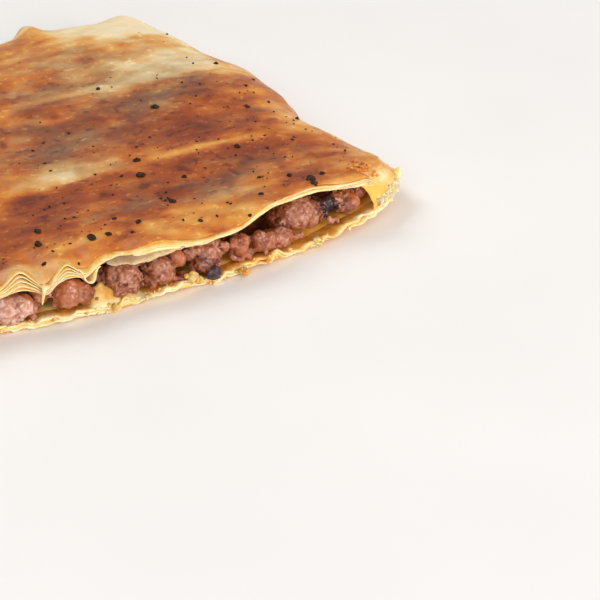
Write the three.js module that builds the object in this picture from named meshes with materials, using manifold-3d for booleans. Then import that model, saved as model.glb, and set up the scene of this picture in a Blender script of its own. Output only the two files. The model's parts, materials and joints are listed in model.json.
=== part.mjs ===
// A cut slice of keema paratha: one quarter of a square folded flatbread, pan-fried, with minced meat inside.
// The dough is one pocket. It is folded shut at the right and at the back, and cut open at the front and at
// the left, where its flaky leaves and the lumps of meat show. Millimetres, +Z up, the base flat on z = 0.
import * as THREE from "three";
import { mergeVertices } from "three/addons/utils/BufferGeometryUtils.js";
import Module from "manifold-3d";

const wasm = await Module();
wasm.setup();

// ---- Driving sizes ----
const WIDTH = 130; // along the front cut
const DEPTH = 118; // from the front cut to the back fold
const HEIGHT = 11.6; // over both crusts, where the filling is full
const CRUST = 2.1; // one crust, all its leaves together
const RIM_TOP = 4.2; // top of the folded rim
const RIM_MIDDLE = 2.4; // middle of the folded rim
const RIM_RADIUS = 2.0;
const FOLD_REACH = 6.5; // how far inside the rim the crust climbs
const CURL_REACH = 20; // how far inside the back rim it starts to curl up
const RUFFLE_REACH = 7; // how far inside a cut its ruffles die away
const CUT_FADE = 7; // over which a cut turns into a fold, round a tip
const LEFT_PHASE = 9; // shifts the left cut's waves against the front cut's
const FRONT_TIP_RADIUS = 14; // where the front cut meets the right fold
const BACK_TIP_RADIUS = 9; // where the left cut meets the back fold
const TIP_LIFT = 3.6; // how far the front tip curls off the table
const TIP_REACH = 16; // how far round the tip it does so
const CUT_ENDS = 5; // this far from a fold a cut is shut
const CUT_OPENS = 16; // and this far from it, it is open
const CORNER_RADIUS = 10; // where the two folds meet
const RIGHT = WIDTH / 2;
const LEFT = -WIDTH / 2;
const BACK = DEPTH / 2;
const FRONT = -DEPTH / 2;

// ---- The pocket and the meat in it ----
const POCKET_INSET = 4.2; // from the rim to the end of the pocket
const MEAT_INSET = 15; // from the rim to the end of the packed meat
const OUT_OF_CUT = 6; // how far the pocket's shape stands out of the cuts
const CLEARANCE = 0.35; // between meat and crust
const CORE_CLEARANCE = 0.9; // between the packed meat and the crust
const CORE_RECESS = 4; // the packed meat lies this far behind the cuts
const POCKET_HEIGHT = HEIGHT - 2 * CRUST - 2 * CLEARANCE;
const LEAST_GAP = 0.5; // height of the pocket at its folded end

// ---- Mesh densities ----
const ACROSS = 32; // cells of the dough along x
const ALONG = 30; // cells of the dough along y
const POCKET_CELLS = [22, 20];
const CORE_CELLS = [12, 11];

// ---- Colours from the photograph ----
const DOUGH = new THREE.MeshStandardMaterial({ color: 0xcf9a55, roughness: 0.6, metalness: 0 });
const MEAT = new THREE.MeshStandardMaterial({ color: 0x7d4a38, roughness: 0.45, metalness: 0 });

// ---- Small helpers ----
const { lerp, clamp, smoothstep: smooth, degToRad } = THREE.MathUtils;

/** 1 at no distance, dying away smoothly over `reach`. */
const fade = (distance, reach) => Math.exp(-((distance / reach) ** 2));

/** The sum at t of round swells, each [centre, size, reach]. */
function swells(t, list) {
  return list.reduce((sum, [centre, size, reach]) => sum + size * fade(t - centre, reach), 0);
}

/** A fixed draw from 0 to 1 for piece n and question k. */
function chance(n, k) {
  const wild = Math.sin(n * 12.9898 + k * 78.233 + 4.7) * 43758.5453;
  return wild - Math.floor(wild);
}

// ---- The uneven outline: [place along the side, size outwards, reach] ----
const RIGHT_SWELLS = [[-21, -2.1, 7.3], [-5, 1.9, 8], [10.5, 3.4, 10], [50, -1.7, 9]];
const BACK_SWELLS = [[50, -1.8, 5], [32, 1.4, 3.8], [20, -0.9, 7], [-4, 1.4, 9], [-30, -2.2, 8], [-52, 1.4, 7]];
const FRONT_SWELLS = [[15.5, 3.1, 32], [-38, -3.4, 14]];
const LEFT_SWELLS = [[-28, -1.2, 15], [20, 1.6, 20]];
const RIM_LIFTS = [[31.3, 2.6, 2.5], [59, 1.4, 9], [-12, 1.0, 9]]; // where the back rim curls up

/** Moves a place on the straight-sided slice to where it lies on the real, uneven one. */
function settle(x, y) {
  return [
    x + swells(y, RIGHT_SWELLS) * smooth(x, 0, RIGHT) - swells(y, LEFT_SWELLS) * smooth(-x, 0, -LEFT),
    y + swells(x, BACK_SWELLS) * smooth(y, 0, BACK) - swells(x, FRONT_SWELLS) * smooth(-y, 0, -FRONT),
  ];
}

// ---- Heights over the straight-sided slice ----
const climb = (distance) => 1 - Math.exp(-Math.max(distance, 0) / FOLD_REACH);
const opening = (distance) => smooth(distance, CUT_ENDS, CUT_OPENS); // of a cut, this far from the fold it meets

/** How far the crust has climbed from its folded rims. Where a cut is shut, it slopes down to it as well. */
function fullness(x, y) {
  const tip = lerp(climb(y - FRONT), 1, opening(RIGHT - x));
  const backTip = lerp(climb(x - LEFT), 1, opening(BACK - y));
  return climb(RIGHT - x) * climb(BACK - y) * tip * backTip;
}

const tipLift = (x, y) => TIP_LIFT * fade(Math.hypot(x - RIGHT, y - FRONT), TIP_REACH);
const rimLift = (x, y) => swells(x, RIM_LIFTS) * smooth(y, BACK - CURL_REACH, BACK) + tipLift(x, y);

/** Broad bumps and long ridges of the browned top. */
function relief(x, y) {
  const bumps = 0.5 * Math.sin(x / 13 + 1.3) * Math.sin(y / 10 - 0.4);
  const ridges = 0.3 * Math.sin(y / 4.6 + 1.4 * Math.sin(x / 23));
  return bumps + ridges + 0.25 * Math.sin(x / 7 + y / 14 + 0.5);
}

/** How the edge of the upper crust waves up and down along a cut. */
function ruffle(along) {
  const waves = 0.5 * Math.sin(along / 3.1 + 0.6) + 0.35 * Math.sin(along / 2.05 + 1.7);
  return waves - 0.2 + swells(along, [[-13.8, -1.5, 2], [30, 0.8, 4]]);
}

/** Top of the upper crust. */
function topHeight(x, y) {
  const full = fullness(x, y);
  const front = ruffle(x) * fade(y - FRONT, RUFFLE_REACH);
  const left = ruffle(y + LEFT_PHASE) * fade(x - LEFT, RUFFLE_REACH);
  return lerp(RIM_TOP, HEIGHT, full) + (relief(x, y) + front + left) * full + rimLift(x, y);
}

/** How far the edge of the upper crust lies behind the edge of the lower one along a cut. */
const recess = (along) => swells(along, [[36, 4, 10], [-7.5, 2.6, 4.5], [-48, 1.2, 8]]);

/** How far the edge of the lower crust curls off the table along a cut. */
const curl = (along) => 0.3 * (1 + Math.sin(along / 3.4 + 0.8)) * (1 + 0.5 * Math.sin(along / 8));

// ---- The rim, as a loop of stations that starts at the front left corner ----
const QUARTER = Math.PI / 2;

function sides() {
  const [front, right, back, left] = [0, 1, 2, 3].map(() => new THREE.Path());
  const tip = [RIGHT - FRONT_TIP_RADIUS, FRONT + FRONT_TIP_RADIUS, FRONT_TIP_RADIUS];
  const corner = [RIGHT - CORNER_RADIUS, BACK - CORNER_RADIUS, CORNER_RADIUS];
  const backTip = [LEFT + BACK_TIP_RADIUS, BACK - BACK_TIP_RADIUS, BACK_TIP_RADIUS];
  front.moveTo(LEFT, FRONT).lineTo(RIGHT - FRONT_TIP_RADIUS, FRONT);
  front.absarc(...tip, -QUARTER, -QUARTER / 2, false);
  right.absarc(...tip, -QUARTER / 2, 0, false).absarc(...corner, 0, QUARTER / 2, false);
  back.absarc(...corner, QUARTER / 2, QUARTER, false).absarc(...backTip, QUARTER, 1.5 * QUARTER, false);
  left.absarc(...backTip, 1.5 * QUARTER, 2 * QUARTER, false).lineTo(LEFT, FRONT);
  return [front, right, back, left];
}

/** How far a place belongs to a cut, 1, and not to a fold, 0. */
function cutShare(x, y) {
  const near = (distance) => 1 - smooth(distance, 0.5, CUT_FADE);
  return Math.max(near(y - FRONT) * opening(RIGHT - x), near(x - LEFT) * opening(BACK - y));
}

function stations() {
  const cells = [ACROSS, ALONG, ACROSS, ALONG];
  const places = sides().flatMap((side, n) => side.getSpacedPoints(cells[n]).slice(0, -1));
  return places.map(({ x, y }) => {
    const cut = cutShare(x, y);
    const along = y - FRONT < x - LEFT ? x : y + LEFT_PHASE;
    return { x, y, cut, along, back: cut * recess(along) };
  });
}

/** A station's place, drawn in towards the middle of the slice by `amount`. */
const inset = (station, amount) => [station.x * (1 - amount / RIGHT), station.y * (1 - amount / BACK)];

// ---- The edge of the dough, from the top round to the base: [inset, height] ----
const TOP_INSET = 3;
const BASE_INSET = 6.5;
const LIFT_SLOPE = 3; // the base starts this many times the tip's lift further in
const RIM_ANGLES = [64, 40, 14, -10, -30, -52, -76];

const baseInset = ({ x, y }) => BASE_INSET + LIFT_SLOPE * tipLift(x, y);

/** At a cut: the upper crust's two leaves, then the lower crust's two. */
function cutEdge(station) {
  const { x, y, along, back } = station;
  const top = topHeight(...inset(station, back));
  const lift = curl(along) + tipLift(x, y);
  const upper = 0.4 + 0.4 * Math.sin(along / 2.7);
  const lower = 0.4 + 0.4 * Math.sin(along / 3.6 + 2);
  return [
    [back + upper + 0.2, top - 0.12],
    [back + upper, top - 0.8],
    [back + 1.7, top - 1.05],
    [back + 0.9 - upper, top - CRUST - 0.2],
    [lower, lift + CRUST + 0.2],
    [lower + 0.1, lift + 1.1],
    [1.2, lift + 0.1],
  ];
}

/** At a fold: round its rim. */
function foldEdge({ x, y }) {
  return RIM_ANGLES.map(degToRad).map((angle) => [
    RIM_RADIUS * (1 - Math.cos(angle)),
    RIM_MIDDLE + rimLift(x, y) + RIM_RADIUS * Math.sin(angle),
  ]);
}

/** The dough as if it were solid: its top, its edge and its flat base. */
function doughShell() {
  const vertices = [];
  const triangles = [];
  const add = ([x, y], z) => vertices.push([...settle(x, y), z]) - 1;
  const quad = (a, b, c, d) => triangles.push([a, b, c], [a, c, d]);
  const ring = stations();

  const columns = ring.map((station) => {
    const first = inset(station, TOP_INSET + station.back);
    const fold = foldEdge(station);
    const edge = cutEdge(station).map(([reach, height], k) => {
      const at = inset(station, lerp(fold[k][0], reach, station.cut));
      return add(at, lerp(fold[k][1], height, station.cut));
    });
    return [add(first, topHeight(...first)), ...edge, add(inset(station, baseInset(station)), 0)];
  });
  columns.forEach((column, i) => {
    const next = columns[(i + 1) % columns.length];
    for (let k = 0; k + 1 < column.length; k++) quad(column[k], column[k + 1], next[k + 1], next[k]);
  });

  const base = ring.map((station) => new THREE.Vector2(...inset(station, baseInset(station))));
  THREE.ShapeUtils.triangulateShape(base, []).forEach(([a, b, c]) => {
    triangles.push([c, b, a].map((n) => columns[n].at(-1)));
  });

  const grid = topGrid(ring, columns, (place) => add(place, topHeight(...place)));
  for (let i = 0; i < ACROSS; i++) {
    for (let j = 0; j < ALONG; j++) quad(grid[i][j], grid[i + 1][j], grid[i + 1][j + 1], grid[i][j + 1]);
  }
  return { vertices, triangles };
}

/** Vertex numbers of the top: the rim's own at its border, and new ones spread evenly between them. */
function topGrid(ring, columns, add) {
  const count = ring.length;
  const onFront = (i) => i;
  const onRight = (j) => ACROSS + j;
  const onBack = (i) => 2 * ACROSS + ALONG - i;
  const onLeft = (j) => (count - j) % count;
  const at = (n) => new THREE.Vector2(...inset(ring[n], TOP_INSET + ring[n].back));
  const between = (i, j) => {
    const [u, v] = [i / ACROSS, j / ALONG];
    const across = at(onLeft(j)).lerp(at(onRight(j)), u);
    const along = at(onFront(i)).lerp(at(onBack(i)), v);
    const front = at(onFront(0)).lerp(at(onFront(ACROSS)), u);
    const back = at(onBack(0)).lerp(at(onBack(ACROSS)), u);
    return across.add(along).sub(front.lerp(back, v)).toArray();
  };
  const border = (i, j) => {
    if (j === 0) return onFront(i);
    if (i === ACROSS) return onRight(j);
    if (j === ALONG) return onBack(i);
    return i === 0 ? onLeft(j) : undefined;
  };
  return Array.from({ length: ACROSS + 1 }, (_, i) =>
    Array.from({ length: ALONG + 1 }, (_unused, j) => {
      const station = border(i, j);
      return station === undefined ? add(between(i, j)) : columns[station][0];
    }),
  );
}

// ---- The pocket between the crusts ----
/** How much a round corner of this radius takes off a side, `past` millimetres into it. */
const cornerLoss = (radius, past) => radius - Math.sqrt(radius ** 2 - clamp(past, 0, radius - 1) ** 2);

function pocketRight(y, end) {
  const tip = cornerLoss(FRONT_TIP_RADIUS, FRONT + FRONT_TIP_RADIUS - y);
  const corner = cornerLoss(CORNER_RADIUS, y - BACK + CORNER_RADIUS);
  return RIGHT - end - tip - corner;
}

const pocketBack = (x, end) => BACK - end - cornerLoss(BACK_TIP_RADIUS, LEFT + BACK_TIP_RADIUS - x);

/** A slab that fills the pocket to `end` short of the folds, `clear` of both crusts. */
function pocketFill({ left, front, end, clear, cells: [cellsAcross, cellsAlong] }) {
  const vertices = [];
  const triangles = [];
  const spread = (i, cells) => 1 - (1 - i / cells) ** 1.35; // closer together near the folds
  const place = (i, j) => {
    const across = spread(i, cellsAcross);
    const y = lerp(front, pocketBack(lerp(left, RIGHT - end, across), end), spread(j, cellsAlong));
    const x = lerp(left, pocketRight(y, end), across);
    const within = [Math.max(x, LEFT), Math.max(y, FRONT)];
    const open = Math.sqrt(smooth(Math.min(pocketRight(y, end) - x, pocketBack(x, end) - y), -1, 5));
    const low = CRUST + clear + rimLift(...within);
    const high = lerp(low + LEAST_GAP, Math.max(low + LEAST_GAP, topHeight(...within) - CRUST - clear), open);
    const [sx, sy] = settle(...within);
    const out = [sx + Math.min(x - LEFT, 0), sy + Math.min(y - FRONT, 0)];
    return [low, high].map((z) => vertices.push([...out, z]) - 1);
  };
  const grid = Array.from({ length: cellsAcross + 1 }, (_, i) =>
    Array.from({ length: cellsAlong + 1 }, (_unused, j) => place(i, j)),
  );
  const quad = (a, b, c, d) => triangles.push([a, b, c], [a, c, d]);
  const wall = ([lowA, highA], [lowB, highB]) => quad(lowA, lowB, highB, highA);
  for (let i = 0; i < cellsAcross; i++) {
    for (let j = 0; j < cellsAlong; j++) {
      const around = [grid[i][j], grid[i + 1][j], grid[i + 1][j + 1], grid[i][j + 1]];
      quad(...around.map(([, high]) => high));
      quad(...around.map(([low]) => low).reverse());
    }
    wall(grid[i][0], grid[i + 1][0]);
    wall(grid[i + 1][cellsAlong], grid[i][cellsAlong]);
  }
  for (let j = 0; j < cellsAlong; j++) {
    wall(grid[cellsAcross][j], grid[cellsAcross][j + 1]);
    wall(grid[0][j + 1], grid[0][j]);
  }
  return { vertices, triangles };
}

const PAST_CUTS = { left: LEFT - OUT_OF_CUT, front: FRONT - OUT_OF_CUT };
const BEHIND_CUTS = { left: LEFT + CORE_RECESS, front: FRONT + CORE_RECESS };

// ---- Solids ----
function toSolid({ vertices, triangles }) {
  const mesh = new wasm.Mesh({
    numProp: 3,
    vertProperties: new Float32Array(vertices.flat()),
    triVerts: new Uint32Array(triangles.flat()),
  });
  return new wasm.Manifold(mesh);
}

function geometrySolid(geometry) {
  geometry.deleteAttribute("normal");
  geometry.deleteAttribute("uv");
  const merged = mergeVertices(geometry, 1e-4);
  const mesh = new wasm.Mesh({
    numProp: 3,
    vertProperties: new Float32Array(merged.attributes.position.array),
    triVerts: new Uint32Array(merged.index.array),
  });
  return new wasm.Manifold(mesh);
}

function toMesh(solid, name, material) {
  const { vertProperties, triVerts } = solid.getMesh();
  const geometry = new THREE.BufferGeometry();
  geometry.setAttribute("position", new THREE.BufferAttribute(vertProperties, 3));
  geometry.setIndex(new THREE.BufferAttribute(triVerts, 1));
  geometry.computeVertexNormals();
  const mesh = new THREE.Mesh(geometry, material);
  mesh.name = name;
  return mesh;
}

// ---- Cracked pepper on the top ----
// The largest flecks: [x, y, radius].
const LARGE_FLECKS = [
  [31, -5, 0.95],
  [15, -26, 0.8],
  [12.5, -31.5, 1],
  [12, -44, 0.75],
  [-5.5, -50.5, 0.75],
  [-9, -50.5, 0.95],
  [-16.5, -43.5, 0.7],
  [-18.5, -48, 0.8],
  [40, -52, 1.05],
  [36.5, -31, 0.75],
  [50, -15, 0.65],
  [-44, -30, 0.8],
];
const SMALL_FLECKS = 16; // spread by rule
const FLECK_MARGIN = 9; // clear of the rim
const FLECK_RISE = 0.15; // of its radius, from the crust up to its middle

/** More of the small ones lie towards the front and the right, as the square roots do it. */
function smallFleck(n) {
  const x = lerp(LEFT + FLECK_MARGIN, RIGHT - FLECK_MARGIN, Math.sqrt(chance(n, 1)));
  const y = lerp(BACK - FLECK_MARGIN, FRONT + FLECK_MARGIN, Math.sqrt(chance(n, 2)));
  return [x, y, lerp(0.5, 0.7, chance(n, 3))];
}

function fleck([x, y, radius], n) {
  const grain = new THREE.IcosahedronGeometry(radius, 0);
  grain.scale(1 + 0.5 * chance(n, 4), 1, 0.75);
  grain.rotateX(chance(n, 5) - 0.5).rotateZ(Math.PI * chance(n, 6));
  grain.translate(...settle(x, y), topHeight(x, y) + FLECK_RISE * radius);
  return geometrySolid(grain);
}

function dough() {
  const pocket = toSolid(pocketFill({ ...PAST_CUTS, end: POCKET_INSET, clear: 0, cells: POCKET_CELLS }));
  const small = Array.from({ length: SMALL_FLECKS }, (_, n) => smallFleck(n));
  const flecks = [...LARGE_FLECKS, ...small].map(fleck);
  return flecks.reduce((sum, grain) => sum.add(grain), toSolid(doughShell()).subtract(pocket));
}

// ---- Minced meat ----
// The lumps that show at the front cut: [x, height of the middle, radius, how far they stand out].
const FRONT_LUMPS = [
  [-60, 5.4, 3.6, 0.2],
  [-52, 5.2, 3.9, 0.6],
  [-44.5, 5.0, 3.3, -0.4],
  [-37, 5.6, 3.2, 0.1],
  [-28, 4.4, 3.8, 2.2],
  [-22, 6.2, 2.8, -0.6],
  [-16.5, 5.4, 3.7, 0.2],
  [-5.5, 5.3, 3.8, 0.3],
  [1, 5.1, 3.9, 0.5],
  [11.8, 6.4, 4.2, -0.3],
  [11.8, 3.3, 1.9, 1.8],
  [19.5, 4.2, 2.4, -0.8],
  [25, 3.9, 2.1, -0.6],
  [29.5, 4.1, 2.2, -0.3],
  [35.5, 6.0, 4.5, -0.9],
  [42, 5.6, 2.7, -2.2],
  [46.5, 5.4, 3.0, -1.8],
  [50.5, 6.2, 3.0, -3],
];
const LEFT_LUMPS = 16; // spread along the left cut by rule
const INNER_LUMPS = 10; // behind the first row

/** One knobbly lump, `n` setting its bumps. */
function lump([x, y, z], radius, n) {
  const geometry = new THREE.IcosahedronGeometry(radius, radius > 4 ? 2 : 1);
  const position = geometry.attributes.position;
  const point = new THREE.Vector3();
  for (let i = 0; i < position.count; i++) {
    point.fromBufferAttribute(position, i);
    const { x: px, y: py, z: pz } = point.clone().divideScalar(radius);
    const knobs = Math.sin(2.9 * px + n) + Math.sin(3.3 * py + 2 * n) + Math.sin(3.7 * pz + 3 * n);
    point.multiplyScalar(1 + 0.07 * knobs);
    position.setXYZ(i, point.x, point.y, point.z);
  }
  // A lump that is higher than the pocket is pressed flat between the crusts.
  geometry.scale(1, 1, Math.min(1, POCKET_HEIGHT / (2 * radius)));
  geometry.translate(x, y, z);
  return geometrySolid(geometry);
}

function frontLumps() {
  return FRONT_LUMPS.map(([x, z, radius, out], n) => {
    const [sx, sy] = settle(x, FRONT);
    return lump([sx, sy + radius - out, z + tipLift(x, FRONT)], radius, n);
  });
}

function leftLumps() {
  return Array.from({ length: LEFT_LUMPS }, (_, n) => {
    const y = lerp(FRONT + 7, BACK - MEAT_INSET - 3, (n + 0.5 * chance(n, 11)) / LEFT_LUMPS);
    const radius = lerp(2.8, 4.4, chance(n, 12));
    const out = lerp(-0.6, 1.3, chance(n, 13));
    const [sx, sy] = settle(LEFT, y);
    return lump([sx + radius - out, sy, lerp(4.8, 6, chance(n, 14))], radius, n + 40);
  });
}

/** A second row behind the first, alternately along the front and the left cut. */
function innerLumps() {
  return Array.from({ length: INNER_LUMPS }, (_, n) => {
    const share = (n + chance(n, 21)) / INNER_LUMPS;
    const behind = lerp(4.5, 6.5, chance(n, 22));
    const alongFront = [lerp(LEFT + 6, RIGHT - MEAT_INSET - 6, share), FRONT + behind];
    const alongLeft = [LEFT + behind, lerp(FRONT + 6, BACK - MEAT_INSET - 6, share)];
    const place = settle(...(n % 2 ? alongLeft : alongFront));
    return lump([...place, lerp(4.6, 7, chance(n, 23))], lerp(2.4, 3.4, chance(n, 24)), n + 80);
  });
}

function keema() {
  const core = pocketFill({ ...BEHIND_CUTS, end: MEAT_INSET, clear: CORE_CLEARANCE, cells: CORE_CELLS });
  const room = pocketFill({ ...PAST_CUTS, end: POCKET_INSET + 1, clear: CLEARANCE, cells: POCKET_CELLS });
  const lumps = [...frontLumps(), ...leftLumps(), ...innerLumps()];
  return lumps.reduce((sum, piece) => sum.add(piece), toSolid(core)).intersect(toSolid(room));
}

const slice = new THREE.Group();
slice.add(toMesh(dough(), "dough", DOUGH), toMesh(keema(), "keema", MEAT));

// The middle of the outline goes to the origin.
const middle = new THREE.Box3().setFromObject(slice).getCenter(new THREE.Vector3());
slice.children.forEach((mesh) => mesh.geometry.translate(-middle.x, -middle.y, 0));

export default slice;
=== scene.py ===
"""Looks of one cut slice of keema paratha: flaky fried crusts over minced meat, with cracked pepper on top.

Every length in the classes is in millimetres. Meshes are scaled to metres when they become pieces.
"""

import enum
import json
import logging
import math
from collections.abc import Sequence
from dataclasses import dataclass, field, replace
from typing import ClassVar

import bmesh
import bpy
import numpy as np
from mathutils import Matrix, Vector

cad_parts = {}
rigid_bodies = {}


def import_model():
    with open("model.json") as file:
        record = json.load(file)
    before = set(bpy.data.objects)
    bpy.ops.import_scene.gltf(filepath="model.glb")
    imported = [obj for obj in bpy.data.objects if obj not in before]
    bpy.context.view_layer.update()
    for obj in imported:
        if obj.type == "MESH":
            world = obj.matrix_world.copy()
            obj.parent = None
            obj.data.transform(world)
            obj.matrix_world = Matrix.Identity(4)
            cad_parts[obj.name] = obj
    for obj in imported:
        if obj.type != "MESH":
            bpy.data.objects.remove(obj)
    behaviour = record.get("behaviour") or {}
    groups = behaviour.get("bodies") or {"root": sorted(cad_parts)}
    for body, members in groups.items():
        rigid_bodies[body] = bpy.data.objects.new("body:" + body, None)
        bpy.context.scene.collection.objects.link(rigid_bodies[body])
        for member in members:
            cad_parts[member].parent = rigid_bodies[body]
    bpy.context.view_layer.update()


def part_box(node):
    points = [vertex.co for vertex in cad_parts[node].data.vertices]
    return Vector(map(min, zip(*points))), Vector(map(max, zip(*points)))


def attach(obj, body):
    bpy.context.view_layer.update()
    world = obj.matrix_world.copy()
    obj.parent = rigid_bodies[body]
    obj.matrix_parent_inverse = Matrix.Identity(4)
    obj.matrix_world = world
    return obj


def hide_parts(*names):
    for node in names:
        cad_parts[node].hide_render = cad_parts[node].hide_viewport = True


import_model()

log = logging.getLogger("keema_paratha")

Array = np.ndarray
Piece = bpy.types.Object
Material = bpy.types.Material
Socket = bpy.types.NodeSocket
Swells = tuple[tuple[float, float, float], ...]
Colour = tuple[float, float, float, float]

MM = 0.001
CRUSH_CELLS = 1400.0  # cells of crushed grain in a metre
BODY = "root"


class Node(enum.Enum):
    """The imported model's nodes that the pieces stand for."""

    DOUGH = "dough"
    KEEMA = "keema"


class Slot(enum.Enum):
    """The record's material slots."""

    DOUGH = "fried_dough"
    MEAT = "minced_meat"


class Side(enum.Enum):
    """Which crust a stack of leaves belongs to."""

    UPPER = "upper"
    LOWER = "lower"


# ---- Plain maths ----
def smooth(t: Array | float, low: float, high: float) -> Array:
    """A smooth step from 0 at low to 1 at high."""
    share = np.clip((np.asarray(t, float) - low) / (high - low), 0.0, 1.0)
    return share * share * (3.0 - 2.0 * share)


def fade(distance: Array | float, reach: float) -> Array:
    """1 at no distance, dying away smoothly over reach."""
    return np.exp(-((np.asarray(distance, float) / reach) ** 2))


def swell(t: Array | float, swells: Swells) -> Array:
    """The sum of round swells at t.

    Args:
        t: places along a side.
        swells: (centre, size, reach) of each swell.

    Returns:
        The height of the sum at each place.
    """
    total = np.zeros_like(np.asarray(t, float))
    for centre, size, reach in swells:
        total = total + size * fade(t - centre, reach)
    return total


def chance(n: int, k: int) -> float:
    """A fixed draw from 0 to 1 for piece n and question k, the same as the solids use."""
    wild = math.sin(n * 12.9898 + k * 78.233 + 4.7) * 43758.5453
    return wild - math.floor(wild)


def lerp(a: Array | float, b: Array | float, share: Array | float) -> Array | float:
    """The value that lies share of the way from a to b."""
    return a + (b - a) * share


class Grain:
    """Smooth gradient noise from about -1 to 1, the same on every run."""

    SLOPES = 4096
    PRIMES = (73856093, 19349663, 83492791)

    def __init__(self, seed: int) -> None:
        """Draws the table of slopes for this seed."""
        draw = np.random.default_rng(seed).normal(size=(self.SLOPES, 3))
        self.slopes = draw / np.linalg.norm(draw, axis=1)[:, None]

    def __call__(self, x: Array, y: Array, z: Array | float = 0.0) -> Array:
        """One octave of noise at these places.

        Args:
            x: places along the first axis, in cells.
            y: places along the second axis, in cells.
            z: places along the third axis, in cells.

        Returns:
            The noise at each place.
        """
        place = np.stack(np.broadcast_arrays(x, y, z), axis=-1).astype(float)
        cell = np.floor(place).astype(np.int64)
        part = place - cell
        ease = part**3 * (part * (part * 6.0 - 15.0) + 10.0)
        total = np.zeros(place.shape[:-1])
        for corner in np.ndindex(2, 2, 2):
            step = np.array(corner)
            keys = (cell + step) * np.array(self.PRIMES)
            slope = self.slopes[(keys[..., 0] ^ keys[..., 1] ^ keys[..., 2]) % self.SLOPES]
            weight = np.prod(np.where(step == 1, ease, 1.0 - ease), axis=-1)
            total += weight * np.sum(slope * (part - step), axis=-1)
        return total * 1.6

    def layers(self, x: Array, y: Array, z: Array | float = 0.0, count: int = 4) -> Array:
        """Several octaves of noise, each half the size and strength of the one before.

        Args:
            x: places along the first axis, in cells.
            y: places along the second axis, in cells.
            z: places along the third axis, in cells.
            count: how many octaves.

        Returns:
            The noise at each place.
        """
        total, strength = 0.0, 1.0
        for octave in range(count):
            scale = 2.0**octave
            shift = 17.3 * octave
            total = total + strength * self(x * scale + shift, y * scale - shift, z * scale)
            strength *= 0.5
        return total


# ---- The slice's form, as in the solids ----
@dataclass(frozen=True)
class Ring:
    """Stations round the rim of the straight-sided slice, from its front left corner to the right."""

    x: Array
    y: Array
    cut: Array
    along: Array
    back: Array

    def __len__(self) -> int:
        """How many stations there are."""
        return len(self.x)

    def take(self, chosen: Array) -> "Ring":
        """The ring with only the chosen stations, in their order."""
        return Ring(*(values[chosen] for values in (self.x, self.y, self.cut, self.along, self.back)))


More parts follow.
